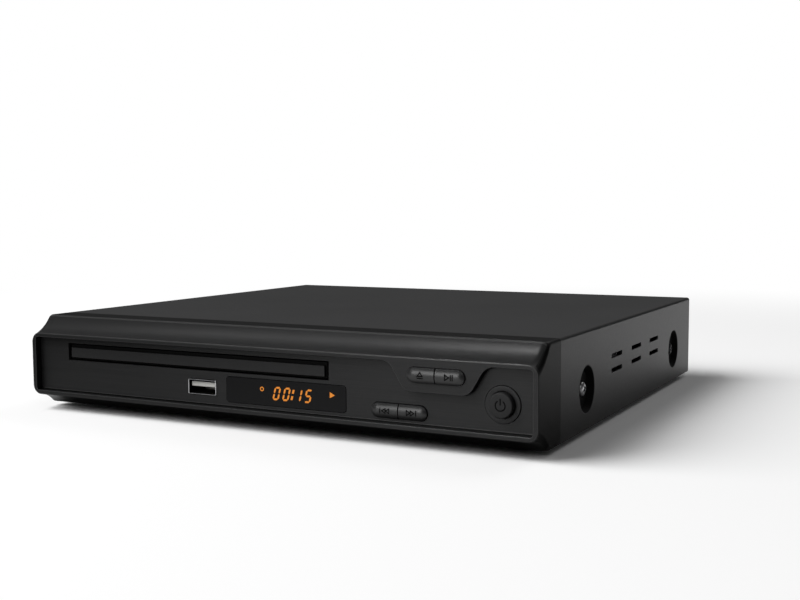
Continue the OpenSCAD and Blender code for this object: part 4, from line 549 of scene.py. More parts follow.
class Shape:
    """A mesh under construction, in the player's millimetres."""

    def __init__(self) -> None:
        """Starts empty."""
        self.bm = bmesh.new()
        self.looks: list[Look] = []

    @classmethod
    def prism(
        cls, facing: Facing, corners: Sequence[Pair], start: float, stop: float,
        radii: Sequence[float] | float = 0.0, steps: int = 8,
    ) -> "Shape":
        """Block with a flat outline, its corners rounded by a bevel.

        Args:
            facing: Plane of the outline.
            corners: Corners of the outline in order.
            start: Depth of the first face.
            stop: Depth of the second face.
            radii: Radius of all corners, or of each one.
            steps: Steps of a rounded corner.

        Returns:
            The closed block.
        """
        shape = cls()
        bm = shape.bm
        count = len(corners)
        radii = [radii] * count if isinstance(radii, (int, float)) else list(radii)
        verts = [bm.verts.new(facing.point(u, v, start)) for u, v in corners]
        bm.faces.new(verts)
        for i, (vert, radius) in enumerate(zip(verts, radii)):
            if radius > 0:
                before, after = Vector(corners[i - 1]), Vector(corners[(i + 1) % count])
                here = Vector(corners[i])
                half = (before - here).angle(after - here) / 2
                bmesh.ops.bevel(
                    bm, geom=[vert], offset=radius / math.tan(half), segments=steps,
                    profile=0.5, affect="VERTICES", material=-1, clamp_overlap=False,
                )
        made = bmesh.ops.extrude_face_region(bm, geom=bm.faces[:])
        moved = [g for g in made["geom"] if isinstance(g, bmesh.types.BMVert)]
        bmesh.ops.translate(bm, verts=moved, vec=facing.point(0, 0, stop - start))
        bmesh.ops.recalc_face_normals(bm, faces=bm.faces[:])
        return shape

    @classmethod
    def block(
        cls, x: float, z: float, width: float, height: float, start: float, stop: float,
        radii: Sequence[float] | float = 0.0, steps: int = 8,
    ) -> "Shape":
        """Block with a rectangular front, from its centre and size."""
        return cls.prism(Facing.FRONT, box_corners(x, z, width, height), start, stop, radii, steps)

    @classmethod
    def slab(
        cls, x0: float, x1: float, d0: float, d1: float, z0: float, z1: float,
        radii: Sequence[float] | float = 0.0, steps: int = 8,
    ) -> "Shape":
        """Block between two places on each axis, with its upright edges rounded."""
        return cls.prism(Facing.TOP, span(x0, x1, d0, d1), z0, z1, radii, steps)

    @classmethod
    def turned(
        cls, profile: Sequence[Pair], centre: Vector, axis: Vector = UP, steps: int = 64
    ) -> "Shape":
        """Solid of revolution.

        Args:
            profile: Radius and height of each point, from one end to the other.
            centre: Where the profile's height is zero.
            axis: Direction in which the height counts.
            steps: Steps of the full turn.

        Returns:
            The turned solid.
        """
        shape = cls()
        bm = shape.bm
        verts = [bm.verts.new((radius, 0, height)) for radius, height in profile]
        for a, b in zip(verts, verts[1:]):
            bm.edges.new((a, b))
        bmesh.ops.spin(
            bm, geom=bm.verts[:] + bm.edges[:], cent=(0, 0, 0), axis=(0, 0, 1), angle=math.tau,
            steps=steps, use_merge=True,
        )
        bmesh.ops.remove_doubles(bm, verts=bm.verts[:], dist=1e-4)
        bmesh.ops.recalc_face_normals(bm, faces=bm.faces[:])
        return shape.place(centre, axis)

    @classmethod
    def turned_back(cls, profile: Sequence[Pair], x: float, z: float, steps: int = 64) -> "Shape":
        """Solid of revolution about a line that runs back; the profile's heights are depths."""
        return cls.turned(profile, Vector((x, 0, z)), BACK, steps)

    @classmethod
    def rod(cls, x: float, z: float, radius: float, start: float, stop: float, steps: int = 32) -> "Shape":
        """Round rod that runs back from one depth to another."""
        return cls.turned_back([(0, start), (radius, start), (radius, stop), (0, stop)], x, z, steps)

    @classmethod
    def loft(cls, rings: Sequence[Sequence[Vector]]) -> "Shape":
        """Closed solid through rings of equal length."""
        shape = cls()
        bm = shape.bm
        loops = []
        for ring in rings:
            verts = [bm.verts.new(p) for p in ring]
            loops.append([bm.edges.new((verts[i - 1], verts[i])) for i in range(len(verts))])
            if ring is rings[0] or ring is rings[-1]:
                bm.faces.new(verts)
        for near, far in zip(loops, loops[1:]):
            bmesh.ops.bridge_loops(bm, edges=near + far)
        bmesh.ops.recalc_face_normals(bm, faces=bm.faces[:])
        return shape

    def add(self, *others: "Shape") -> "Shape":
        """Takes other shapes in beside this one."""
        for other in others:
            mesh = bpy.data.meshes.new("joined")
            other.bm.to_mesh(mesh)
            self.bm.from_mesh(mesh)
            bpy.data.meshes.remove(mesh)
        return self

    def _read(self, mesh: bpy.types.Mesh) -> None:
        """Takes a mesh over with its elements sorted by place, because the solver's own order varies.

        Args:
            mesh: Mesh that replaces the shape's own; its double faces are left out.
        """
        points = [tuple(vert.co) for vert in mesh.vertices]
        faces = []
        for face in mesh.polygons:
            corners = list(face.vertices)
            first = corners.index(min(corners, key=points.__getitem__))
            faces.append((corners[first:] + corners[:first], face.material_index))
        self.bm.clear()
        verts = {i: self.bm.verts.new(points[i]) for i in sorted(range(len(points)), key=points.__getitem__)}
        for corners, look in sorted(faces, key=lambda face: [points[i] for i in face[0]]):
            around = [verts[i] for i in corners]
            (self.bm.faces.get(around) or self.bm.faces.new(around)).material_index = look

    def _boolean(self, tool: "Shape", operation: str) -> "Shape":
        """Combines this shape with a tool.

        Args:
            tool: The second shape.
            operation: DIFFERENCE or UNION.

        Returns:
            This shape, changed.
        """
        objects = []
        for shape in (self, tool):
            mesh = bpy.data.meshes.new("boolean")
            shape.bm.to_mesh(mesh)
            objects.append(put("boolean", mesh))
        target, cutter = objects
        modifier = target.modifiers.new("boolean", "BOOLEAN")
        modifier.object = cutter
        modifier.operation = operation
        modifier.solver = "EXACT"
        modifier.use_self = True
        evaluated = target.evaluated_get(bpy.context.evaluated_depsgraph_get())
        mesh = bpy.data.meshes.new_from_object(evaluated)
        self._read(mesh)
        bpy.data.meshes.remove(mesh)
        for obj in objects:
            data = obj.data
            bpy.data.objects.remove(obj)
            bpy.data.meshes.remove(data)
        return self

    def cut(self, *tools: "Shape") -> "Shape":
        """Takes the tools' volumes out of this shape."""
        return self._boolean(Shape().add(*tools), "DIFFERENCE")

    def join(self, *others: "Shape") -> "Shape":
        """Unites this shape with others into one skin."""
        return self._boolean(Shape().add(*others), "UNION")

    def soften(
        self, width: float, steps: int = 2, where: Callable[[Vector], bool] | None = None, angle: float = 50.0
    ) -> "Shape":
        """Bevels sharp edges.

        Args:
            width: Width of the bevel.
            steps: Segments of the bevel.
            where: Test of an edge's middle that picks edges.
            angle: Least angle between an edge's faces, in degrees.

        Returns:
            This shape, changed.
        """
        bm = self.bm
        bmesh.ops.remove_doubles(bm, verts=bm.verts[:], dist=1e-3)
        bmesh.ops.dissolve_limit(bm, angle_limit=math.radians(0.6), verts=bm.verts[:], edges=bm.edges[:])
        sharp = [
            e for e in bm.edges
            if len(e.link_faces) == 2
            and e.calc_face_angle(0.0) > math.radians(angle)
            and (where is None or where((e.verts[0].co + e.verts[1].co) / 2))
        ]
        bmesh.ops.bevel(
            bm, geom=sharp, offset=width, segments=steps, profile=0.5, affect="EDGES",
            material=-1, clamp_overlap=False, miter_outer="SHARP",
        )
        return self

    def move(self, matrix: Matrix) -> "Shape":
        """Applies a matrix to the whole shape."""
        bmesh.ops.transform(self.bm, matrix=matrix, verts=self.bm.verts[:])
        return self

    def place(self, centre: Vector, axis: Vector) -> "Shape":
        """Turns the shape's upward direction to an axis and moves its origin to a centre."""
        turn = UP.rotation_difference(axis).to_matrix().to_4x4()
        return self.move(Matrix.Translation(centre) @ turn)

    def paint(self, look: Look, where: Callable[[Vector, Vector], bool]) -> "Shape":
        """Gives some faces a finish of their own.

        Args:
            look: The finish.
            where: Test of a face's middle and normal that picks faces.

        Returns:
            This shape, changed.
        """
        if look not in self.looks:
            self.looks.append(look)
        self.bm.normal_update()
        for face in self.bm.faces:
            if where(face.calc_center_median(), face.normal):
                face.material_index = self.looks.index(look) + 1
        return self

    def finish(
        self, name: str, look: Look, body: str = CASE_BODY, replaces: Sequence[str] = (), crease: float = 32.0
    ) -> None:
        """Turns the shape into a piece of the player.

        Args:
            name: Name of the piece.
            look: Its finish.
            body: Body that it moves with.
            replaces: Nodes that it stands for.
            crease: Least angle of an edge that stays sharp, in degrees.
        """
        self.move(Matrix.Scale(MM, 4) @ Matrix.Translation((0, FRONT_Y, 0)))
        mesh = bpy.data.meshes.new(name)
        self.bm.to_mesh(mesh)
        self.bm.free()
        mesh.shade_smooth()
        mesh.set_sharp_from_angle(angle=math.radians(crease))
        for each in [look, *self.looks]:
            mesh.materials.append(each.material())
        obj = put(name, mesh)
        weighted = obj.modifiers.new("even_shading", "WEIGHTED_NORMAL")
        weighted.keep_sharp = True
        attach(obj, body)
        if replaces:
            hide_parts(*replaces)
        log.info("%s: %d faces, rides on %s", name, len(mesh.polygons), body)


# ------------------------------------------------------------------ shared sizes


@dataclass(frozen=True)
class Case:
    """Main sizes that several sub-assemblies share."""

    half: float = 112.5
    bottom: float = 2.0
    top: float = 39.0
    cover_bottom: float = 2.4
    cover_end: float = 212.4
    sheet: float = 0.8
    fold: float = 1.2
    bezel_end: float = 21.2
    wall: float = 206.0
    recess: float = 2.6
    recess_floor: float = 3.4
    slot_x: float = -31.7
    slot_w: float = 125.6
    slot_low: float = 21.4
    slot_high: float = 28.5
    tongue_x: float = 75.3
    upper_keys_z: float = 26.35
    lower_keys_x: float = 59.9
    lower_keys_z: float = 12.5
    keys_w: float = 21.8
    keys_h: float = 5.3
    key_gap: float = 0.2
    power_x: float = 98.9
    power_z: float = 18.0
    ring_r: float = 6.45
    ring_gap: float = 0.12
    window_x: float = 12.0
    window_z: float = 15.05
    window_w: float = 52.6
    window_h: float = 9.8
    usb_x: float = -25.8
    usb_w: float = 13.2
    usb_h: float = 5.8
    board_top: float = 8.4
    dish_depths: Pair = (50.5, 180.7)
    dish_z: float = 17.1
    dish_depth: float = 2.4
    posts: tuple[Pair, ...] = ((-37.0, 9.0), (43.65, 17.6), (81.6, 11.0), (57.0, 26.0))

    def slot_tool(self, start: float, stop: float, grow: float = 0.0) -> Shape:
        """Tool for the tray's slot, between two depths."""
        middle = (self.slot_low + self.slot_high) / 2
        width, height = self.slot_w + 2 * grow, self.slot_high - self.slot_low + 2 * grow
        return Shape.block(self.slot_x, middle, width, height, start, stop)

    def keys_tool(self, x: float, z: float, start: float, stop: float) -> Shape:
        """Tool for a capsule hole, between two depths."""
        height = self.keys_h + 2 * self.key_gap
        return Shape.block(x, z, self.keys_w + 2 * self.key_gap, height, start, stop, height / 2 - 0.001, 16)

    def window_tool(self, start: float, stop: float, grow: float = 0.0) -> Shape:
        """Tool for the display window, between two depths."""
        width, height = self.window_w + 2 * grow, self.window_h + 2 * grow
        return Shape.block(self.window_x, self.window_z, width, height, start, stop, 1.2 + grow)

    def usb_tool(self, start: float, stop: float, grow: float = 0.0) -> Shape:
        """Tool for the USB opening, between two depths."""
        width, height = self.usb_w + 2 * grow, self.usb_h + 2 * grow
        return Shape.block(self.usb_x, self.window_z, width, height, start, stop, max(0.1, 0.5 + grow), 4)

    def openings(self, start: float, stop: float, window: float) -> list[Shape]:
        """Tools for the openings that the moulding and its panel share.

        Args:
            start: First depth.
            stop: Second depth.
            window: How much wider than the window its opening is on each side.

        Returns:
            The tools of the slot, the lower keys, the window, the USB socket and the power key's collar.
        """
        return [
            self.slot_tool(start, stop),
            self.keys_tool(self.lower_keys_x, self.lower_keys_z, start, stop),
            self.window_tool(start, stop, window),
            self.usb_tool(start, stop, self.key_gap),
            Shape.rod(self.power_x, self.power_z, self.ring_r + self.ring_gap, start, stop, 96),
        ]


CASE = Case()


# ------------------------------------------------------------------ sub-assemblies


@dataclass
class Bezel:
    """Moulded front with its coves, its recess and the tongue above the upper keys."""

    cove: float = 9.6
    frame_top: float = 32.4
    frame_bottom: float = 6.4
    top_r: float = 19.0
    bottom_r: float = 16.0
    corner: float = 4.0
    collar_corner: float = 2.8
    edge: float = 0.5
    wall: float = 2.2
    recess_half: float = 110.4
    recess_top: float = 30.7
    recess_low: float = 8.2
    groove: float = 0.5
    bead: float = 0.35
    tongue_half: float = 15.3
    tongue_drop: float = 10.4
    tongue_slope: float = 59.0
    recess_r: float = 1.2
    tongue_upper_r: float = 5.0
    tongue_lower_r: float = 4.5
    panel_gap: float = 0.3
    open_top: float = 5.2
    open_start: float = 15.0
    lip_half: float = 111.6
    lip_low: float = 8.8
    lip_high: float = 38.1
    lip_len: float = 3.0
    post_r: float = 2.4
    post_end: float = 13.0

    def _arc(self, depth: float, frame: float, edge: float, radius: float, side: int) -> float:
        """Height of a cove's surface.

        Args:
            depth: Depth behind the frame's face.
            frame: Height of the frame's edge.
            edge: Height of the case's edge.
            radius: Radius of the cove.
            side: 1 for the upper cove and -1 for the lower one.

        Returns:
            Height at that depth.
        """
        if depth >= self.cove:
            return edge
        p, q = Vector((self.edge, frame)), Vector((self.cove, edge))
        half = (q - p) / 2
        lift = math.sqrt(radius**2 - half.length_squared)
        centre = p + half + Vector((-half.y, half.x)).normalized() * lift * side
        return centre.y - side * math.sqrt(radius**2 - (depth - centre.x) ** 2)

    def _ring(self, depth: float, radius: float, inset: float = 0.0) -> list[Vector]:
        """Ring round the bezel.

        Args:
            depth: Depth of the ring.
            radius: Radius of its corners.
            inset: How far it lies inside the bezel's surface.

        Returns:
            Points of the ring, in order.
        """
        seen = max(depth, self.edge)
        low = self._arc(seen, self.frame_bottom, CASE.bottom, self.bottom_r, -1) + inset
        high = self._arc(seen, self.frame_top, CASE.top, self.top_r, 1) - inset
        half = CASE.half - inset
        points, steps = [], 10
        for quarter, (x, z) in enumerate([(half, high), (-half, high), (-half, low), (half, low)]):
            cx, cz = x - math.copysign(radius, x), z - radius if z == high else z + radius
            for i in range(steps + 1):
                a = math.radians(90 * quarter + 90 * i / steps)
                points.append(Vector((cx + radius * math.cos(a), depth, cz + radius * math.sin(a))))
        return points

    def outline(self, gap: float, bottom: float) -> tuple[list[Pair], list[float]]:
        """Outline of the recess with the tongue cut out of its upper edge.

        Args:
            gap: Distance inside the recess's wall.
            bottom: Height of the lower edge.

        Returns:
            Corners and their radii.
        """
        slope = math.radians(self.tongue_slope)
        rise = self.tongue_drop / 2 / math.tan(slope)
        shift = gap / math.sin(slope) - gap / math.tan(slope)
        wide, narrow = self.tongue_half + rise + shift, self.tongue_half - rise + shift
        half, high = self.recess_half - gap, self.recess_top - gap
        low, x = high - self.tongue_drop, CASE.tongue_x
        corners = [
            (-half, bottom), (half, bottom), (half, high), (x + wide, high),
            (x + narrow, low), (x - narrow, low), (x - wide, high), (-half, high),
        ]
        r, upper, lower = self.recess_r, self.tongue_upper_r, self.tongue_lower_r
        return corners, [r, r, r, upper, lower, lower, upper, r]

    def _rings(self) -> list[list[Vector]]:
        """Rings of the moulding from its face back to the cover."""
        rings = []
        for i in range(5):
            a = math.radians(90 - 22.5 * i)
            inset = self.edge * (1 - math.cos(a))
            rings.append(self._ring(self.edge * (1 - math.sin(a)), self.corner - inset, inset))
        for t in (i / 20 for i in range(1, 21)):
            depth = self.edge + (self.cove - self.edge) * t
            rings.append(self._ring(depth, self.corner + (self.collar_corner - self.corner) * t))
        return rings + [self._ring(depth, CASE.fold) for depth in (self.cove + 1.6, CASE.bezel_end)]

    def moulding(self) -> Shape:
        """Moulded front with its openings, the sleeve behind the slot and the board's posts."""
        face, end = CASE.recess_floor, CASE.bezel_end
        inner, back = CASE.half - self.wall, face + self.wall
        top, bottom = CASE.top - self.wall, CASE.bottom + self.wall
        moulding = Shape.loft(self._rings())
        lip = span(-self.lip_half, self.lip_half, self.lip_low, self.lip_high)
        moulding.join(Shape.prism(Facing.FRONT, lip, end - 1, end + self.lip_len, [0, 0, 1, 1], 4))
        hollow = [
            (back, self.frame_bottom + self.wall), (back, self.frame_top - self.wall), (self.cove + 1.8, top),
            (end + 4, top), (end + 4, bottom), (self.cove - 0.4, bottom),
        ]
        open_floor = Shape.prism(Facing.FRONT, span(-inner, inner, 1, self.open_top), self.open_start, end + 1)
        moulding.cut(Shape.prism(Facing.SIDE, hollow, -inner, inner), open_floor)
        corners, radii = self.outline(0, self.recess_low)
        moulding.cut(Shape.prism(Facing.FRONT, corners, -1, face, radii, 12))
        moulding.soften(0.22, 3, lambda p: p.y < 0.02)
        upper_keys = CASE.keys_tool(CASE.tongue_x, CASE.upper_keys_z, -1, self.cove)
        moulding.cut(*CASE.openings(-1, self.cove, -1.2), upper_keys, CASE.window_tool(1, face + 1.4, -0.3))
        sleeve = CASE.slot_tool(back - 0.5, self.cove, 1.2).cut(CASE.slot_tool(-1, self.cove + 1))
        start, stop, r = back - 0.5, self.post_end, self.post_r
        post = [(0, start), (r, start), (r, stop), (1.5, stop), (1.5, back + 1), (0, back + 1)]
        return moulding.add(sleeve, *[Shape.turned_back(post, x, z, 32) for x, z in CASE.posts])

    def panel(self) -> Shape:
        """Brushed panel in the recess, with a bead along its lower edge."""
        low, proud, floor = self.recess_low + self.groove, CASE.recess - 0.3, CASE.recess_floor
        corners, radii = self.outline(self.panel_gap, low)
        panel = Shape.prism(Facing.FRONT, corners, CASE.recess, floor, radii, 12)
        panel.cut(*CASE.openings(0, 5, 0.15))
        panel.soften(0.12, 2, lambda p: p.y < CASE.recess + 0.02)
        end = self.recess_half - 0.6
        outline = box_corners((proud + floor) / 2, low + self.bead / 2, floor - proud, self.bead)
        panel.add(Shape.prism(Facing.SIDE, outline, -end, end, 0.12, 3))
        # Painted highlight: the bead and the panel's lower edge get a lighter colour.
        return panel.paint(Look.EDGE, lambda p, n: p.y < CASE.recess and p.z < low + self.bead)

    def build(self) -> None:
        """Builds the moulding and the brushed panel."""
        moulding, cove = self.moulding(), self.cove
        moulding.paint(Look.PANEL, lambda p, n: n.y < -0.99 and p.y < 0.01)
        # Painted highlight: the rounded front edges and the cove's upper edge get a lighter, glossier colour.
        moulding.paint(Look.EDGE, lambda p, n: p.y < 0.45 and -0.99 < n.y < -0.2)
        moulding.paint(Look.EDGE, lambda p, n: cove - 0.6 < p.y < cove and n.z > 0.3)
        # Painted shade: the flat collar behind the cove and the bezel's sides are coloured darker than the
        # rest of the moulding.
        moulding.paint(Look.COLLAR, lambda p, n: p.y > cove and n.z > 0.99)
        moulding.paint(Look.COLLAR, lambda p, n: 0.8 < p.y and 0.5 < abs(n.x))
        # Painted shade: the rounded corners between the cove and the sides are coloured near black.
        moulding.paint(Look.CORNER, lambda p, n: 0.8 < p.y < cove and 0.6 < abs(n.x) < 0.985)
        moulding.finish("bezel_moulding", Look.BEZEL, replaces=["front_bezel"])
        self.panel().finish("brushed_panel", Look.PANEL, replaces=["front_panel"])


@dataclass
class Keys:
    """Capsule keys and the power key, with their engraved signs."""

    crown: float = 0.9
    proud: float = 1.5
    split: float = 0.15
    sign_depth: float = 0.22
    sign_line: float = 0.4
    flange: float = 5.75
    rim: float = 3.5
    stem_r: float = 1.5
    plunger: float = 7.55
    power_r: float = 4.4
    power_sign_line: float = 0.44

    def _skin(self, face: float) -> list[Pair]:
        """Crowned profile from the key's centre line out and back, as radius and depth."""
        half = CASE.keys_h / 2
        radius = (half**2 + self.crown**2) / 2 / self.crown
        reach = math.asin(half / radius)
        points = []
        for i in range(13):
            a = reach * i / 12
            points.append((radius * math.sin(a), face + radius * (1 - math.cos(a))))
        return points + [(half, self.flange + 0.2)]

    def capsule(self, x: float, z: float, face: float, side: int) -> Shape:
        """Half of a capsule.

        Args:
            x: Centre of the whole capsule.
            z: Height of its centre.
            face: Depth of its highest line.
            side: 1 for the right half and -1 for the left half.

        Returns:
            The key, closed.
        """
        reach = (CASE.keys_w - CASE.keys_h) / 2
        skin = self._skin(face)
        full = [(d, -r) for r, d in reversed(skin)] + [(d, r) for r, d in skin[1:]]
        key = Shape.prism(Facing.SIDE, full, self.split, reach)
        key.join(Shape.turned_back(skin + [(0, self.flange + 0.2)], reach, 0))
        outline = span(self.split, CASE.keys_w / 2 + 0.9, -self.rim, self.rim)
        rim = Shape.prism(Facing.FRONT, outline, self.flange, self.flange + 1.2, [0, 0.8, 0.8, 0], 4)
        stem = Shape.rod(CASE.keys_w / 4, 0, self.stem_r, self.flange, self.plunger, 24)
        key.add(rim, stem)
        key.soften(0.14, 2, lambda p: p.x < self.split + 0.01 and p.y < face + 3, 60)
        if side < 0:
            key.move(Matrix.Scale(-1, 4, (1, 0, 0)))
            bmesh.ops.recalc_face_normals(key.bm, faces=key.bm.faces[:])
        return key.move(Matrix.Translation((x, 0, z)))

    def _line(self, a: Pair, b: Pair, face: float, width: float | None = None) -> Shape:
        """Engraving tool along a line from a to b, below the surface at a depth."""
        start, stop = Vector(a), Vector(b)
        along = (stop - start).normalized() * (width or self.sign_line) / 2
        across = Vector((-along.y, along.x))
        near, far = start - along, stop + along
        corners = [tuple(c) for c in (near - across, far - across, far + across, near + across)]
        return Shape.prism(Facing.FRONT, corners, face - 1, face + self.sign_depth)

    def _loop(self, points: Sequence[Pair], face: float) -> list[Shape]:
        """Engraving tools round a closed outline."""
        return [self._line(points[i - 1], points[i], face) for i in range(len(points))]

    def _arrow(self, x: float, z: float, size: float, way: int, face: float) -> list[Shape]:
        """Engraving tools of a triangle that points left or right."""
        half = size / 2
        tail, tip = x - way * half * 0.8, x + way * half * 0.8
        return self._loop([(tail, z - half), (tip, z), (tail, z + half)], face)

    def _bar(self, x: float, z: float, face: float) -> Shape:
        """Engraving tool of an upright stroke."""
        return self._line((x, z - 0.9), (x, z + 0.9), face)

    def signs(self) -> dict[str, list[Shape]]:
        """Engraving tools of each key's sign."""
        quarter = CASE.keys_w / 4
        upper, lower = -self.proud, CASE.recess - self.proud
        x, z = CASE.tongue_x - quarter, CASE.upper_keys_z
        eject = self._loop([(x - 1.0, z - 0.25), (x + 1.0, z - 0.25), (x, z + 1.15)], upper)
        eject += [self._line((x - 1.0, z - 0.95), (x + 1.0, z - 0.95), upper)]
        x = CASE.tongue_x + quarter
        play = self._arrow(x - 0.75, z, 1.9, 1, upper)
        play += [self._bar(x + dx, z, upper) for dx in (0.65, 1.35)]
        x, z = CASE.lower_keys_x - quarter, CASE.lower_keys_z
        previous = self._arrow(x - 0.2, z, 1.7, -1, lower) + self._arrow(x + 1.3, z, 1.7, -1, lower)
        previous += [self._bar(x - 1.6, z, lower)]
        x = CASE.lower_keys_x + quarter
        following = self._arrow(x - 1.3, z, 1.7, 1, lower) + self._arrow(x + 0.2, z, 1.7, 1, lower)
        following += [self._bar(x + 1.6, z, lower)]
        return {"eject": eject, "play": play, "previous": previous, "next": following}

    def power_sign(self, face: float) -> list[Shape]:
        """Engraving tools of the power sign: an open ring and a stroke."""
        radius, gap, x, z = 1.75, 38, CASE.power_x, CASE.power_z
        points = []
        for i in range(25):
            a = math.radians(90 + gap + (360 - 2 * gap) * i / 24)
            points.append((x + radius * math.cos(a), z + radius * math.sin(a)))
        strokes = [*zip(points, points[1:]), ((x, z + 0.35), (x, z + 2.2))]
        return [self._line(a, b, face, self.power_sign_line) for a, b in strokes]

    def power(self) -> None:
        """Builds the power key and its collar."""
        x, z, face, edge, radius = CASE.power_x, CASE.power_z, 0.1, 0.5, self.power_r
        rounding = [(radius - edge + u, face + v) for u, v in arc(edge, 6)]
        foot = [(radius, 6.6), (radius + 1, 6.6), (radius + 1, 7.0), (self.stem_r, 7.0)]
        stem = [(self.stem_r, self.plunger), (0, self.plunger)]
        cap = Shape.turned_back([(0, face)] + rounding + foot + stem, x, z, 96)
        cap.cut(*self.power_sign(face))
        # Painted shade: the floors of the engraved sign are coloured near black.
        cap.paint(Look.SIGN, lambda p, n: n.y < -0.9 and abs(p.y - face - self.sign_depth) < 0.01)
        cap.finish("power_key_cap", Look.DOOR, "power_key", ["power_button"])
        bore, outer, front, back = radius + CASE.key_gap, CASE.ring_r, CASE.recess - 0.4, 5.8
        profile = [
            (bore, back + 0.7), (bore, front + 0.25), (bore + 0.08, front + 0.08), (bore + 0.25, front),
            (outer - 0.3, front), (outer - 0.08, front + 0.08), (outer, front + 0.3), (outer, back - 0.1),
            (outer + 0.9, back - 0.1), (outer + 0.9, back + 0.7), (bore, back + 0.7),
        ]
        collar = Shape.turned_back(profile, x, z, 96)
        collar.finish("power_key_collar", Look.PANEL, replaces=["power_ring"])

    def build(self) -> None:
        """Builds the five keys and the power key's collar."""
        places = {
            "eject": (CASE.tongue_x, CASE.upper_keys_z, -self.proud, -1),
            "play": (CASE.tongue_x, CASE.upper_keys_z, -self.proud, 1),
            "previous": (CASE.lower_keys_x, CASE.lower_keys_z, CASE.recess - self.proud, -1),
            "next": (CASE.lower_keys_x, CASE.lower_keys_z, CASE.recess - self.proud, 1),
        }
        signs = self.signs()
        for name, place in places.items():
            key = self.capsule(*place).cut(*signs[name])
            floor = place[2] + self.sign_depth
            # Painted shade: the floors of the engraved signs are coloured near black.
            key.paint(Look.SIGN, lambda p, n: n.y < -0.9 and abs(p.y - floor) < 0.01)
            key.finish(f"{name}_key_cap", Look.BUTTON, f"{name}_key", [f"{name}_button"])
        self.power()


@dataclass
class Display:
    """Smoked window with its lit digits."""

    digit_w: float = 2.8
    digit_h: float = 5.1
    stroke: float = 0.7
    gap: float = 0.18
    slant: float = 0.26
    centre_z: float = 15.05
    lit_depths: Pair = (CASE.recess - 0.16, CASE.recess - 0.12)

    def _lit(self, outline: Sequence[Pair]) -> Shape:
        """Lit piece in front of the window, from its outline."""
        return Shape.prism(Facing.FRONT, outline, *self.lit_depths)

    def _slanted(self, x: float, z: float, outline: Sequence[Pair]) -> Shape:
        """Lit piece round a middle, slanted like the digits."""
        return self._lit([(x + u + self.slant * (z + v - self.centre_z), z + v) for u, v in outline])

    def _segment(self, x: float, z: float, length: float, upright: bool) -> Shape:
        """One bar of a digit with pointed ends."""
        half, end = self.stroke / 2, length / 2
        outline = [
            (-end, 0), (-end + half, -half), (end - half, -half),
            (end, 0), (end - half, half), (-end + half, half),
        ]
        return self._slanted(x, z, [(-b, a) for a, b in outline] if upright else outline)

    def digit(self, x: float, bars: str) -> list[Shape]:
        """Lit bars of a digit.

        Args:
            x: Centre of the digit.
            bars: Letters a to g of the lit bars.

        Returns:
            The bars.
        """
        w, h, z = self.digit_w / 2 - self.stroke / 2, self.digit_h / 2 - self.stroke / 2, self.centre_z
        across, upright = 2 * w - self.gap, h - self.gap
        places = {
            "a": (x, z + h, across, False), "g": (x, z, across, False), "d": (x, z - h, across, False),
            "b": (x + w, z + h / 2, upright, True), "c": (x + w, z - h / 2, upright, True),
            "f": (x - w, z + h / 2, upright, True), "e": (x - w, z - h / 2, upright, True),
        }
        return [self._segment(*places[bar]) for bar in bars]

    def build(self) -> None:
        """Builds the window, the digits and the two small indicators."""
        window = CASE.window_tool(CASE.recess - 0.1, CASE.recess_floor)
        window.soften(0.12, 2, lambda p: p.y < CASE.recess)
        window.add(CASE.window_tool(CASE.recess_floor, CASE.recess_floor + 1.3, -0.4))
        window.finish("smoked_window", Look.WINDOW, replaces=["display_window"])

        lit = Shape()
        lit.add(*self.digit(8.6, "abcdef"), *self.digit(12.9, "abcdef"))
        lit.add(*self.digit(18.1, "bc"), *self.digit(22.4, "afgcd"))
        for dz in (-1.2, 1.2):
            lit.add(self._slanted(15.6, self.centre_z + dz, span(-0.42, 0.42, -0.72, 0.72)))
        x, z, (near, far) = 31.6, 16.2, self.lit_depths
        lit.add(self._lit([(x, z - 1.1), (x + 2.1, z), (x, z + 1.1)]))
        ring = [(0.5, near), (0.85, near), (0.85, far), (0.5, far), (0.5, near)]
        lit.add(Shape.turned_back(ring, 2.0, 16.3, 32))
        lit.finish("display_digits", Look.DIGITS)


@dataclass
class TrayDoor:
    """Flap on the front of the tray: a raised face inside a rim painted near black as shade."""

    half: float = 61.8
    low: float = 22.0
    high: float = 27.9
    front: float = 2.5
    back: float = 5.2
    rim: float = 0.7
    rim_above: float = 1.2
    step: float = 1.0

    def build(self) -> None:
        """Builds the flap with its softened face."""
        x, middle, height = CASE.slot_x, (self.low + self.high) / 2, self.high - self.low
        drop, end = (self.rim_above - self.rim) / 2, self.back - 0.5
        width, inside = 2 * (self.half - self.rim), height - self.rim - self.rim_above
        flap = Shape.block(x, middle - drop, width, inside, self.front, end, 0.25, 4)
        flap.join(Shape.block(x, middle, 2 * self.half, height, self.front + self.step, self.back, 0.3, 4))
        flap.soften(0.16, 3, lambda p: p.y < self.front + 0.01)
        # Painted shade: everything behind the raised face, the rim included, is coloured near black.
        flap.paint(Look.SIGN, lambda p, n: p.y > self.front + 0.25)
        flap.finish("tray_flap", Look.DOOR, "tray", ["tray_door"])


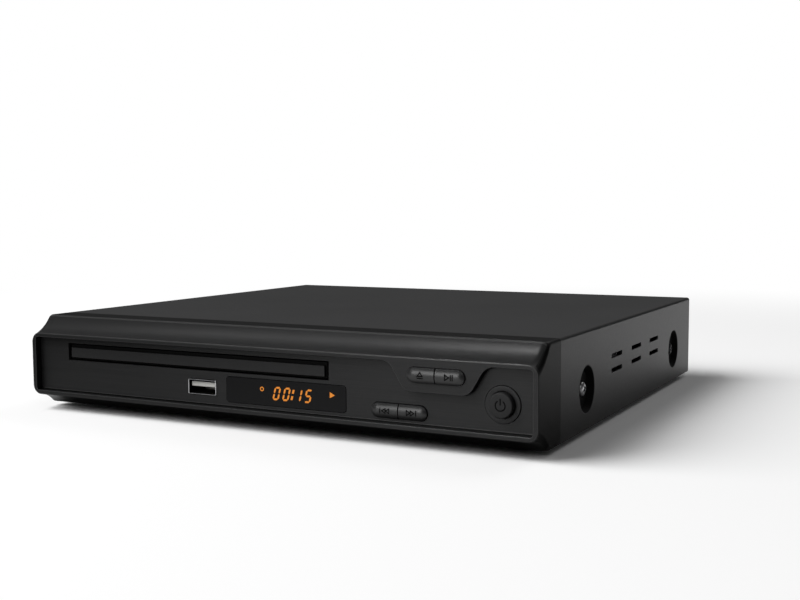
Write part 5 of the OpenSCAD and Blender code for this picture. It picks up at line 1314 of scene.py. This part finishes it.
@dataclass
class UsbSocket:
    """USB socket in the front: rolled steel shell, tongue and contacts."""

    front: float = 2.3
    back: float = 15.6
    sheet: float = 0.28
    tongue_end: float = 12.6
    tongue_w: float = 11.2
    tongue_h: float = 1.8
    contact_places: tuple[float, ...] = (-3.5, -1.0, 1.0, 3.5)

    def build(self) -> None:
        """Builds the shell, the tongue and its four contacts."""
        shell = CASE.usb_tool(self.front, self.back)
        shell.cut(CASE.usb_tool(self.front - 1, self.back - self.sheet, -self.sheet))
        shell.soften(0.12, 3, lambda p: p.y < self.front + 0.02)
        x, z, edge = CASE.usb_x, CASE.window_z, self.front + 0.3
        half, high = CASE.usb_w / 2 - 0.2, CASE.usb_h / 2 - 0.2
        # Painted shade: the inside of the steel shell is coloured near black.
        shell.paint(Look.SIGN, lambda p, n: p.y > edge and abs(p.x - x) < half and abs(p.z - z) < high)
        shell.finish("usb_steel_shell", Look.STEEL, replaces=["usb_shell"])
        top, high = z + CASE.usb_h / 2 - self.sheet - 0.75, self.tongue_h
        tongue = Shape.block(x, top - high / 2, self.tongue_w, high, self.front + 1, self.tongue_end)
        tongue.soften(0.15, 2, lambda p: p.y < self.front + 1.1)
        tongue.add(CASE.usb_tool(self.tongue_end, self.back - self.sheet, -self.sheet))
        tongue.finish("usb_moulded_tongue", Look.WHITE, replaces=["usb_tongue"])
        start, stop, low = self.front + 1.6, self.tongue_end - 0.6, top - high - 0.03
        contacts = [Shape.block(x + dx, low, 1.0, 0.1, start, stop) for dx in self.contact_places]
        Shape().add(*contacts).finish("usb_contacts", Look.BRASS)


@dataclass
class Cover:
    """Folded steel cover with its dishes and vent slots."""

    dish_r: float = 8.75
    bore: float = 1.7
    vent_depths: tuple[float, float, float] = (88.4, 116.7, 145.0)
    vent_heights: tuple[float, float] = (25.6, 19.9)
    vent_w: float = 14.3
    vent_h: float = 1.7
    shoulder: float = 0.3

    def _dish(self, side: int, depth: float) -> Shape:
        """Pressed dish as a ring of sheet, with soft shoulders."""
        r, deep, t = self.dish_r, CASE.dish_depth, CASE.sheet
        rim, floor = r + self.shoulder, r - 1.9
        outer = [
            (rim, 0.0), (r + 0.12, -0.03), (r - 0.02, -0.14), (r - 0.12, -0.3),
            (floor + 0.62, -deep + 0.5), (floor + 0.35, -deep + 0.14), (floor, -deep),
        ]
        inner = [(a - 0.25, b - t) for a, b in reversed(outer)]
        profile = outer + [(self.bore, -deep), (self.bore, -deep - t)] + inner[:-1] + [(rim, -t), (rim, 0.0)]
        return Shape.turned(profile, Vector((side * CASE.half, depth, CASE.dish_z)), Vector((side, 0, 0)), 96)

    def _holes(self) -> list[Shape]:
        """Tools of the dishes' mouths and the vent slots."""
        mouth = self.dish_r + self.shoulder
        tools = []
        for side in (-1, 1):
            a, b = sorted((side * (CASE.half - 2), side * (CASE.half + 2)))
            for depth in CASE.dish_depths:
                centre = Vector((side * CASE.half, depth, CASE.dish_z))
                profile = [(0, -2), (mouth, -2), (mouth, 1), (0, 1)]
                tools.append(Shape.turned(profile, centre, Vector((side, 0, 0)), 96))
            for depth in self.vent_depths:
                for z in self.vent_heights:
                    slot = box_corners(depth, z, self.vent_w, self.vent_h)
                    tools.append(Shape.prism(Facing.SIDE, slot, a, b, 0.4, 4))
        return tools

    def _from_dish(self, p: Vector) -> float:
        """Distance of a point from the middle of the nearest dish, seen from the side."""
        return min(math.hypot(p.y - d, p.z - CASE.dish_z) for d in CASE.dish_depths)

    def build(self) -> None:
        """Builds the cover."""
        half, low, high, t = CASE.half, CASE.cover_bottom, CASE.top, CASE.sheet
        start, stop = CASE.bezel_end + 0.1, CASE.cover_end
        outside, inside = span(-half, half, low, high), span(-half + t, half - t, low - 1, high - t)
        cover = Shape.prism(Facing.FRONT, outside, start, stop, [0, 0, CASE.fold, CASE.fold])
        cover.cut(Shape.prism(Facing.FRONT, inside, start - 1, stop + 1, [0, 0, CASE.fold - t, CASE.fold - t]))
        cover.cut(*self._holes())

        def vent_edge(p: Vector) -> bool:
            """Whether a point lies on the edge of a vent slot, on the sheet's outside."""
            on_side = abs(abs(p.x) - half) < 0.02 and p.y > start + 0.5 and abs(p.y - stop) > 0.5
            return on_side and abs(self._from_dish(p) - self.dish_r - self.shoulder) > 0.3

        cover.soften(0.12, 2, vent_edge)
        cover.add(*[self._dish(side, d) for side in (-1, 1) for d in CASE.dish_depths])
        # Painted shade: the insides of the dishes are coloured near black.
        edge = half - 0.1
        cover.paint(Look.DISH, lambda p, n: abs(p.x) < edge and self._from_dish(p) < self.dish_r)
        cover.finish("folded_cover", Look.COVER, replaces=["top_cover"])


@dataclass
class Screws:
    """Pan-head screws with a cross recess."""

    radius: float = 2.75
    height: float = 1.5
    shank: float = 1.45
    rear_places: tuple[tuple[float, float, float], ...] = (
        (-95.7, 15.4, 1.5), (-45.3, 15.4, 1.5), (-1, 20.6, 0), (13, 20.6, 0), (74, 16, 1.6), (102, 16, 1.6)
    )
    board_places: tuple[Pair, ...] = (
        (-95.5, 177.6), (50, 177.6), (-95.5, 199.6), (60, 199.6),
        (52, 82.1), (102, 82.1), (52, 164.1), (102, 164.1),
    )

    def screw(self, place: Sequence[float], axis: Vector, length: float) -> Shape:
        """One screw.

        Args:
            place: Middle of the face that its head sits on.
            axis: Direction from the head's seat outwards.
            length: Length of its shank.

        Returns:
            The screw.
        """
        r, h, shank = self.radius, self.height, self.shank
        head = [(r, 0), (r, h * 0.35), (r * 0.93, h * 0.62), (r * 0.75, h * 0.86), (r * 0.5, h * 0.97), (0, h)]
        body = Shape.turned([(0, -length), (shank, -length), (shank, 0)] + head, Vector((0, 0, 0)), steps=32)
        for angle in (27, 117):
            slot = Shape.prism(Facing.TOP, box_corners(0, 0, 3.4, 0.8), h - 0.9, h + 1)
            body.cut(slot.move(Matrix.Rotation(math.radians(angle), 4, "Z")))
        return body.place(Vector(place), axis)

    def build(self) -> None:
        """Builds every group of screws."""
        x, z = CASE.half - CASE.dish_depth, CASE.dish_z
        # Painted shade: the rear pair of cover screws is coloured near black.
        for name, depth, look in zip(("front", "rear"), CASE.dish_depths, (Look.SCREW, Look.BLACK_SCREW)):
            pair = [self.screw((side * x, depth, z), Vector((side, 0, 0)), 5) for side in (-1, 1)]
            replaces = ["cover_screws"] if name == "front" else []
            Shape().add(*pair).finish(f"{name}_cover_screws", look, replaces=replaces)
        rear = [self.screw((x, CASE.wall + proud, z), BACK, 4.5) for x, z, proud in self.rear_places]
        boards = [self.screw((x, d, CASE.board_top), UP, 4.6) for x, d in self.board_places]
        boards += [self.screw((x, 14.6, z), BACK, 5.6) for x, z in CASE.posts]
        left, right = CASE.slot_x - 76, CASE.slot_x + 76
        loader = [self.screw((x, d, 10.2), UP, 6) for d in (30.0, 159.8) for x in (left, right)]
        loader += [self.screw((x, d, 31.2), UP, 2.4) for d in (60.5, 76.5) for x in (left + 9, right - 9)]
        for name, screws, node in (
            ("rear_wall", rear, "rear_screws"), ("board_fixing", boards, "board_screws"),
            ("loader_fixing", loader, "loader_screws"),
        ):
            Shape().add(*screws).finish(f"{name}_screws", Look.SCREW, replaces=[node])


@dataclass
class DiscTray:
    """Tray with its two wells, its runners and its rack."""

    half: float = 61.8
    front: float = 5.2
    back: float = 167.8
    run_z: float = 22.0
    under: float = 24.2
    floor: float = 25.6
    top: float = 27.6
    disc_d: float = 68.5
    well_r: float = 60.7
    small_r: float = 40.6
    small_floor: float = 24.4
    boss_low: float = 23.0
    way: float = 23.0
    rack_u: float = 56.9
    gear_d: float = 33.5
    teeth: int = 42

    def _well(self, radius: float, floor: float, rim: float, roll: float) -> Shape:
        """Tool of a round well with a filleted floor and a rolled rim.

        Args:
            radius: Radius at the wall's foot.
            floor: Height of the well's floor.
            rim: Height of the surface round it.
            roll: Radius of the roll at the rim and the fillet at the foot.

        Returns:
            The tool.
        """
        foot = [(radius - roll + u, floor + v) for u, v in arc(roll, 4)]
        top = [(radius + v, rim - roll + u) for u, v in arc(roll, 4)]
        profile = [(0, floor)] + foot + top + [(radius + roll, rim + 1), (0, rim + 1)]
        return Shape.turned(profile, Vector((CASE.slot_x, self.disc_d, 0)), steps=160)

    def _rack(self) -> Shape:
        """Rack under the tray's right side."""
        step = math.pi
        half, slope = step / 4 - 0.08, math.tan(math.radians(25))
        tip, root = half - 0.8 * slope, half + 1.15 * slope
        places = [self.gear_d + k * step for k in range(-2, self.teeth + 1)]
        back_u, tip_u, root_u = self.half - 1, self.rack_u - 0.8, self.rack_u + 1.15
        outline = [(back_u, places[0] - step / 2)]
        for place in places:
            outline += [(root_u, place - root), (tip_u, place - tip)]
            outline += [(tip_u, place + tip), (root_u, place + root)]
        outline.append((back_u, places[-1] + step / 2))
        outline = [(CASE.slot_x + u, d) for u, d in outline]
        return Shape.prism(Facing.TOP, outline, self.run_z, self.under + 0.1)

    def build(self) -> None:
        """Builds the tray."""
        x, d, half, way = CASE.slot_x, self.disc_d, self.half, self.way
        centre, under, boss_r = Vector((x, d, 0)), self.under + 0.1, self.small_r + 1.4
        tray = Shape.slab(x - half, x + half, self.front, self.back, self.under, self.top, [0, 0, 4, 4])
        boss = [(0, self.boss_low), (boss_r, self.boss_low), (boss_r, under), (0, under)]
        middle, length = (self.front + self.back) / 2 - 1, self.back - self.front - 8
        strips = [box_corners(x + side * (half - 0.9), middle, 1.8, length) for side in (-1, 1)]
        runners = [Shape.prism(Facing.TOP, strip, self.run_z, under) for strip in strips]
        tray.join(Shape.turned(boss, centre, steps=160), *runners)
        tray.soften(0.35, 2, lambda p: p.z > self.top - 0.01 and p.y > self.front + 1)
        low, high = 20, 30
        tools = [
            self._well(self.well_r, self.floor, self.top, 0.45),
            self._well(self.small_r, self.small_floor, self.floor, 0.3),
            Shape.turned([(0, low), (way, low), (way, high), (0, high)], centre, steps=96),
            Shape.slab(x - way, x + way, d, self.back + 1, low, high),
        ]
        pocket0, pocket1 = d + self.well_r - 4, self.back - 5
        for side in (-1, 1):
            a, b = sorted((x + side * (way + 4), x + side * (half - 4)))
            tools.append(Shape.slab(a, b, pocket0, pocket1, self.floor, high, 3, 6))
            finger = box_corners(x + side * (way + 11), d, 6, 12)
            tools.append(Shape.prism(Facing.TOP, finger, low, high, 2, 6))
        for tool in tools:
            tray.cut(tool)
        tray.add(self._rack())
        tray.finish("moulded_disc_tray", Look.DARK, "tray", ["disc_tray"], crease=40)


@dataclass
class RearSockets:
    """Sockets in the rear wall: three jacks, SCART, HDMI and the mains inlet."""

    jack_x: float = 6.0
    jack_z: float = 16.0
    jack_pitch: float = 14.0
    jack_r: float = 4.15
    jack_end: float = 214.3
    scart_x: float = -70.5
    scart_z: float = 15.4
    scart_w: float = 43.0
    scart_h: float = 13.6
    scart_pitch: float = 3.6
    hdmi_x: float = -26.0
    hdmi_z: float = 11.4
    inlet_x: float = 88.0
    inlet_z: float = 16.0
    inlet_size: Pair = (21.6, 11.2)
    inlet_flange: Pair = (34.0, 14.0)
    pin_half: float = 4.3
    pilot_r: float = 1.5

    def _flanged(
        self, body: Shape, x: float, z: float, size: Pair, thick: float, radius: float, soft: float
    ) -> Shape:
        """Joins a soft-edged flange in front of the rear wall to a socket's body.

        Args:
            body: The body.
            x: Middle of the flange.
            z: Height of its middle.
            size: Its width and height.
            thick: Its thickness.
            radius: Radius of its corners.
            soft: Width of its edge's bevel.

        Returns:
            The body with its flange.
        """
        face = CASE.wall + thick
        flange = Shape.block(x, z, *size, CASE.wall, face, radius, 6)
        return body.join(flange.soften(soft, 3, lambda p: p.y > face - 0.05))

    def _pilots(self, x: float, z: float, reach: float) -> list[Shape]:
        """Tools of the two screw holes beside a socket."""
        return [Shape.rod(x + side * reach, z, self.pilot_r, CASE.wall - 2, CASE.wall + 2) for side in (-1, 1)]

    def jacks(self) -> None:
        """Builds the three jacks with their coloured inserts and plated sleeves."""
        r, end, w = self.jack_r, self.jack_end, CASE.wall
        lip, inside = w + 1.2, r - 0.7
        low, high = CASE.board_top, self.jack_z + 6.5
        xs = [self.jack_x + i * self.jack_pitch for i in (-1, 0, 1)]
        housing = Shape.block(
            self.jack_x, (low + high) / 2, 3 * self.jack_pitch, high - low, w - 12, w - CASE.sheet, 0.5, 6
        )
        collar = [
            (1.6, w - 3), (r, w - 3), (r, w), (5.4, w), (5.4, w + 0.95),
            (5.15, lip), (r - 0.1, lip), (1.6, lip), (1.6, w - 3),
        ]
        sleeve = [
            (r - 0.5, lip), (r, lip), (r, end - 0.45), (r - 0.12, end - 0.12), (r - 0.35, end),
            (r - 0.6, end - 0.1), (inside, end - 0.4), (inside, lip), (r - 0.5, lip),
        ]
        insert = [
            (1.6, lip), (r - 0.72, lip), (r - 0.72, end - 1.1), (r - 0.95, end - 0.9), (1.85, end - 0.9),
            (1.6, end - 1.15), (1.6, lip),
        ]
        contact = [(1.3, w - 3.5), (1.55, w - 3.5), (1.55, end - 1.8), (1.3, end - 1.6), (1.3, w - 3.5)]
        housing.add(*[Shape.turned_back(collar, x, self.jack_z) for x in xs])
        sleeves, inserts, contacts = (
            Shape().add(*[Shape.turned_back(profile, x, self.jack_z, steps) for x in xs])
            for profile, steps in ((sleeve, 64), (insert, 48), (contact, 32))
        )
        housing.finish("jack_housing", Look.PARTS, replaces=["rca_jacks"])
        sleeves.finish("jack_sleeves", Look.STEEL)
        inserts.paint(Look.JACK_WHITE, lambda p, n: abs(p.x - xs[1]) < 5)
        inserts.paint(Look.JACK_ORANGE, lambda p, n: abs(p.x - xs[0]) < 5)
        inserts.finish("jack_inserts", Look.JACK_RED)
        contacts.finish("jack_contacts", Look.BRASS)

    def _scart_row(self, width: float, height: float, start: float, stop: float) -> list[Shape]:
        """Blocks at the places of the SCART socket's twenty contacts."""
        x, z = self.scart_x - 17.2, self.scart_z
        rows = ((-1, 0.9), (1, 0))
        places = [(x + i * self.scart_pitch + shift, z + row * 1.9) for i in range(10) for row, shift in rows]
        return [Shape.block(*place, width, height, start, stop) for place in places]

    def scart(self) -> None:
        """Builds the SCART socket."""
        x, z, w, high = self.scart_x, self.scart_z, CASE.wall, self.scart_h
        socket = Shape.block(x, CASE.board_top + high / 2, self.scart_w, high, w - 18, w + 0.2, 0.4, 6)
        self._flanged(socket, x, z, (self.scart_w + 15, high + 1.6), 1.5, 1.5, 0.3)
        outer = [(-20.5, -5.2), (20.5, -5.2), (20.5, 1.5), (17, 5.2), (-20.5, 5.2)]
        inner = [(-19, -3.8), (19, -3.8), (19, 1), (16.2, 3.8), (-19, 3.8)]
        lining = [(-20.45, -5.15), (20.45, -5.15), (20.45, 1.5), (17, 5.15), (-20.45, 5.15)]
        liner = [(-20.15, -4.85), (20.15, -4.85), (20.15, 1.4), (16.9, 4.85), (-20.15, 4.85)]

        def ring(outside: Sequence[Pair], inside: Sequence[Pair], start: float, stop: float) -> Shape:
            """Ring between two outlines round the socket's middle."""
            around = [[(x + u, z + v) for u, v in outline] for outline in (outside, inside)]
            hole = Shape.prism(Facing.FRONT, around[1], start - 1, stop + 1)
            return Shape.prism(Facing.FRONT, around[0], start, stop).cut(hole)

        slots = self._scart_row(1.0, 2.4, w - 8, w + 2)
        socket.cut(ring(outer, inner, w - 8, w + 2), *slots, *self._pilots(x, z, 25.2))
        socket.finish("scart_moulding", Look.PARTS, replaces=["scart_socket"])
        ring(lining, liner, w - 7.8, w + 1.3).finish("scart_shroud", Look.STEEL)
        Shape().add(*self._scart_row(0.35, 2.0, w - 8, w - 1.5)).finish("scart_contacts", Look.BRASS)

    def hdmi(self) -> None:
        """Builds the HDMI socket."""
        x, z, w = self.hdmi_x, self.hdmi_z, CASE.wall
        outline = [(-6, -2.9), (6, -2.9), (7.4, -1.4), (7.4, 2.9), (-7.4, 2.9), (-7.4, -1.4)]
        hollow = [(-5.8, -2.5), (5.8, -2.5), (7, -1.2), (7, 2.5), (-7, 2.5), (-7, -1.2)]
        shell = Shape.prism(Facing.FRONT, [(x + u, z + v) for u, v in outline], w - 10, w + 0.8, 0.5, 5)
        shell.cut(Shape.prism(Facing.FRONT, [(x + u, z + v) for u, v in hollow], w - 8, w + 2, 0.3, 4))
        shell.soften(0.12, 2, lambda p: p.y > w + 0.75)
        shell.finish("hdmi_shell", Look.STEEL, replaces=["hdmi_socket"])
        tongue = Shape.block(x, z + 0.1, 12, 1.2, w - 9, w - 0.4)
        tongue.soften(0.2, 2, lambda p: p.y > w - 0.45)
        tongue.finish("hdmi_tongue", Look.PARTS)
        contacts = [Shape.block(x - 4.5 + i, z + 0.72, 0.42, 0.06, w - 8, w - 0.9) for i in range(10)]
        Shape().add(*contacts).finish("hdmi_contacts", Look.BRASS)

    def inlet(self) -> None:
        """Builds the two-pin mains inlet."""
        x, z, w = self.inlet_x, self.inlet_z, CASE.wall
        inlet = Shape.block(x, z, *self.inlet_size, w - 15, w + 0.2, 1, 6)
        self._flanged(inlet, x, z, self.inlet_flange, 1.6, 3, 0.35)
        mouth = [(0, w - 11), (4.4, w - 11), (4.4, w + 1.2), (4.8, w + 1.6), (4.8, w + 2), (0, w + 2)]
        pin = [(0, w - 11.5), (1.15, w - 11.5), (1.15, w - 1.7), (1.0, w - 1.25), (0.6, w - 1.0), (0, w - 1.0)]
        mouths, pins = (
            Shape().add(*[Shape.turned_back(profile, x + side * self.pin_half, z, steps) for side in (-1, 1)])
            for profile, steps in ((mouth, 64), (pin, 32))
        )
        between = Shape.block(x, z, 2 * self.pin_half, 7.4, w - 11, w + 2)
        inlet.cut(mouths, between, *self._pilots(x, z, 14))
        inlet.finish("mains_inlet_moulding", Look.PARTS, replaces=["mains_inlet"])
        pins.finish("mains_inlet_pins", Look.STEEL)

    def build(self) -> None:
        """Builds every socket."""
        for socket in (self.jacks, self.scart, self.hdmi, self.inlet):
            socket()


@dataclass
class Feet:
    """Rubber feet with a rounded rim and a ring pressed into the sole."""

    radius: float = 9.0
    height: float = 2.0
    roll: float = 0.6
    places: tuple[Pair, ...] = ((-31.7, 25.1), (98.0, 25.1), (-90.5, 190.4), (90.5, 190.4))

    def build(self) -> None:
        """Builds the four feet."""
        ring = [(0, 0.35), (3.2, 0.35), (3.5, 0.0), (5.0, 0.0), (5.2, 0.25), (6.2, 0.25), (6.4, 0.0)]
        rim = [(self.radius - self.roll + u, v) for u, v in arc(self.roll, 5)]
        profile = ring + rim + [(self.radius, self.height), (0, self.height)]
        feet = Shape().add(*[Shape.turned(profile, Vector((x, d, 0))) for x, d in self.places])
        feet.finish("rubber_feet", Look.RUBBER, replaces=["feet"])


@dataclass
class PowerSupply:
    """Parts on the power board that stand up: transformer, capacitors and heat sink."""

    left: float = 48.0
    right: float = 106.0
    front: float = 78.1
    back: float = 168.1
    mains_can: Pair = (8.0, 20.0)
    output_can: Pair = (4.0, 12.0)
    can_pitch: float = 11.0
    fin_pitch: float = 6.0
    fin_len: float = 8.0
    sink_len: float = 26.0
    sink_h: float = 20.0

    def _can(self, x: float, d: float, radius: float, height: float) -> Shape:
        """Capacitor with a crimp near its foot, a bare top and a cross pressed into it."""
        z, top = CASE.board_top, CASE.board_top + height
        profile = [(0, z), (radius, z)]
        profile += [(radius - u, z + v) for u, v in ((0, 1.1), (0.2, 1.35), (0.3, 1.6), (0.2, 1.85), (0, 2.1))]
        profile += [(radius - u, top - v) for u, v in ((0, 0.5), (0.15, 0.15), (0.5, 0), (0.8, 0.25))]
        can = Shape.turned(profile + [(0, top - 0.25)], Vector((x, d, 0)))
        for turn in (45, 135):
            groove = Shape.prism(Facing.TOP, box_corners(0, 0, radius * 1.3, 0.3), top - 0.4, top + 1)
            can.cut(groove.move(Matrix.Translation((x, d, 0)) @ Matrix.Rotation(math.radians(turn), 4, "Z")))
        inner = radius - 0.6
        return can.paint(Look.ALUMINIUM, lambda p, n: p.z > top - 0.5 and math.hypot(p.x - x, p.y - d) < inner)

    def transformer(self) -> None:
        """Builds the transformer's core, winding and bobbin."""
        x, d, z = (self.left + self.right) / 2 + 6, (self.front + self.back) / 2 + 2, CASE.board_top
        core = Shape.slab(x - 11, x + 11, d - 3, d + 3, z + 1, z + 17).soften(0.4, 2)
        core.finish("transformer_core", Look.FERRITE, replaces=["transformer"])
        winding = Shape.slab(x - 8, x + 8, d - 10, d + 10, z + 4, z + 14, 2.5, 6)
        winding.soften(0.5, 2).finish("transformer_winding", Look.WINDING)
        bobbin = Shape.slab(x - 9, x + 9, d - 11, d + 11, z, z + 4).soften(0.4, 2)
        bobbin.finish("transformer_bobbin", Look.PARTS)

    def capacitors(self) -> None:
        """Builds the mains capacitor and the row of output capacitors."""
        mains = self._can(self.left + 16, self.back - 22, *self.mains_can)
        mains.finish("mains_capacitor_can", Look.SLEEVE, replaces=["mains_capacitor"])
        for i in range(int((self.right - self.left - 12) // self.can_pitch)):
            can = self._can(self.left + 9 + self.can_pitch * i, self.front + 11, *self.output_can)
            replaces = ["output_capacitors"] if i == 0 else []
            can.finish(f"output_capacitor_can_{i + 1}", Look.SLEEVE, replaces=replaces)

    def heat_sink(self) -> None:
        """Builds the heat sink and the clip on its back."""
        x1, d0, low, top = self.right - 0.5, self.front + 8, CASE.board_top, CASE.board_top + self.sink_h
        fins = [d0 + self.fin_pitch * i for i in range(5)]
        sink = Shape.slab(x1 - 1.5, x1, d0, d0 + self.sink_len, low, top)
        sink.join(*[Shape.slab(x1 - self.fin_len, x1 - 1, d, d + 1.4, low, top) for d in fins])
        sink.soften(0.2, 2).finish("heat_sink_extrusion", Look.ANODISED, replaces=["heat_sink"])
        clip = Shape.slab(x1 - 0.1, x1 + 0.6, d0 + 22.8, d0 + 25.9, top - 5.5, top - 0.2).soften(0.15, 2)
        clip.finish("heat_sink_clip", Look.STEEL)

    def build(self) -> None:
        """Builds everything that stands on the board."""
        for parts in (self.transformer, self.capacitors, self.heat_sink):
            parts()


@dataclass
class PlainNodes:
    """Nodes whose shapes stay as they are, and take a finish."""

    looks: dict[Look, str] = field(
        default_factory=lambda: {
            Look.ZINC: "bottom_chassis clamper_bridge traverse_plate",
            Look.GREEN_BOARD: "front_board main_board",
            Look.BROWN_BOARD: "power_board",
            Look.PARTS: "display_module ir_receiver main_chips",
            Look.SCREW: "key_switches",
            Look.RIBBON: "front_ribbon power_ribbon",
            Look.GREY: "loader_frame",
            Look.ACETAL: "tray_gear pulley_gear motor_pulley sled_gear sled_pinion",
            Look.RUBBER: "drive_belt lift_dampers",
            Look.STEEL: "loading_motor spindle_motor guide_rods sled_motor",
            Look.WHITE: "cam_slider clamper",
            Look.FERRITE: "clamper_magnet",
            Look.DARK: "lift_frame turntable",
            Look.CASTING: "pickup_sled",
            Look.LENS: "pickup_lens",
            Look.LEAD: "mains_leads",
        }
    )

    def build(self) -> None:
        """Gives every kept node its material."""
        for look, names in self.looks.items():
            for name in names.split():
                materials = frame["nodes"][name].data.materials
                materials.clear()
                materials.append(look.material())


@dataclass
class Studio:
    """Camera, lamps, world and floor."""

    place: tuple[float, float, float] = (235.70, -440.16, 83.02)
    azimuth: float = 27.539
    elevation: float = 4.719
    roll: float = -0.2155
    lens: float = 49.353
    ambient: float = 0.085
    mirrored: float = 0.05
    pale_near: float = 0.32
    pale_far: float = 0.75
    floor_half: float = 6.0
    pale_tone: float = 0.95
    dull_tone: float = 0.08

    def camera(self) -> None:
        """Sets the camera at the viewing angle."""
        a, e, r = (math.radians(v) for v in (self.azimuth, self.elevation, self.roll))
        back = Vector((math.sin(a) * math.cos(e), -math.cos(a) * math.cos(e), math.sin(e)))
        right = UP.cross(back).normalized()
        up = back.cross(right)
        right, up = right * math.cos(r) + up * math.sin(r), up * math.cos(r) - right * math.sin(r)
        data = bpy.data.cameras.new("camera")
        data.lens, data.sensor_width = self.lens, 36.0
        data.clip_start, data.clip_end = 0.01, 20.0
        camera = put("camera", data)
        turn = Matrix((right, up, back)).transposed().to_4x4()
        camera.matrix_world = Matrix.Translation(Vector(self.place) * MM) @ turn
        bpy.context.scene.camera = camera

    def lamp(
        self, name: str, place: Sequence[float], size: float, power: float,
        diffuse: bool = True, glossy: bool = True,
    ) -> None:
        """Adds a square area lamp.

        Args:
            name: Name of the lamp.
            place: Place in metres.
            size: Side in metres.
            power: Power in watts.
            diffuse: Whether it lights matt surfaces.
            glossy: Whether glossy surfaces show it.
        """
        data = bpy.data.lights.new(name, "AREA")
        data.size, data.energy = size, power
        lamp = put(name, data)
        lamp.location = place
        lamp.rotation_mode = "QUATERNION"
        lamp.rotation_quaternion = (Vector(place) - Vector((0, 0, 0.02))).to_track_quat("Z", "Y")
        lamp.visible_camera, lamp.visible_diffuse, lamp.visible_glossy = False, diffuse, glossy

    def seen(self, tree: ShaderTree) -> Value:
        """1 where the floor shows white: to the camera, and in mirrors except close to the player."""
        path = tree.node("ShaderNodeLightPath")
        kinds = ("Is Camera Ray", "Is Glossy Ray", "Is Transmission Ray")
        camera, glossy, through = (Value(tree, path.outputs[kind]) for kind in kinds)
        x, y = tree.axis("X"), tree.axis("Y")
        front = y.spread(-0.125, -0.115)
        before = (1 - front) * (1 - x.spread(-0.30, 0.12))
        under = 0.94 * front * (1 - y.spread(0.11, 0.12)) * (1 - x.absolute().spread(0.10, 0.12))
        beside = (1 - y.spread(-0.14, 0.21)) * x.spread(0.10, 0.13) * 0.82
        return camera + glossy * (1 - before - under - beside) + through

    def world(self) -> None:
        """White where the camera sees it, and a dim studio as a light."""
        tree = ShaderTree("studio", "World")
        dim, mirrored, white = (
            tree.node("ShaderNodeBackground", {}, {"Color": (1, 1, 1, 1), "Strength": strength}).outputs[0]
            for strength in (self.ambient, self.mirrored, 1.0)
        )
        path = tree.node("ShaderNodeLightPath").outputs
        light = tree.mix(path["Is Glossy Ray"], dim, mirrored)
        bpy.context.scene.world = tree.end(tree.mix(path["Is Camera Ray"], light, white))

    def floor(self) -> None:
        """White floor that keeps the player's shadow and throws little light back."""
        shape = Shape()
        bmesh.ops.create_grid(shape.bm, x_segments=1, y_segments=1, size=self.floor_half)
        mesh = bpy.data.meshes.new("floor")
        shape.bm.to_mesh(mesh)
        tree = ShaderTree("floor_white")
        x, y = tree.axis("X"), tree.axis("Y")
        distance = (x * x + y * y).power(0.5)
        pale, dull = (
            tree.node("ShaderNodeBsdfDiffuse", {}, {"Color": (tone, tone, tone, 1)}).outputs[0]
            for tone in (self.pale_tone, self.dull_tone)
        )
        white = tree.node("ShaderNodeEmission", {}, {"Color": (1, 1, 1, 1), "Strength": 1.0}).outputs[0]
        near = tree.mix(distance.spread(self.pale_near, self.pale_far), pale, white)
        mesh.materials.append(tree.end(tree.mix(self.seen(tree), dull, near)))
        put("floor", mesh)

    def build(self) -> None:
        """Sets up the whole studio."""
        self.camera()
        self.world()
        self.lamp("key", (-2.10, -1.30, 2.20), 2.9, 173, glossy=False)
        self.lamp("right", (0.70, -0.95, 0.95), 0.6, 1.0)
        self.lamp("above_right", (-0.20, -0.13, 0.95), 0.16, 2.6, diffuse=False)
        self.lamp("above_left", (-0.64, -0.04, 0.95), 0.30, 0.62, diffuse=False)
        self.lamp("front", (-0.06, -0.46, 0.14), 0.20, 0.62, diffuse=False)
        self.lamp("rear", (0.45, 1.10, 1.30), 0.8, 2.8)
        self.floor()
        bpy.context.scene.view_settings.view_transform = "Standard"


def main() -> None:
    """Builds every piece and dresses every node."""
    logging.basicConfig(level=logging.INFO, format="%(name)s: %(message)s")
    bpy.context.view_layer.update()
    for part in (
        Bezel(), Keys(), Display(), TrayDoor(), UsbSocket(), Cover(), Screws(), DiscTray(), RearSockets(),
        Feet(), PowerSupply(), PlainNodes(), Studio(),
    ):
        part.build()
        log.info("%s done", type(part).__name__)


if __name__ == "__main__":
    main()
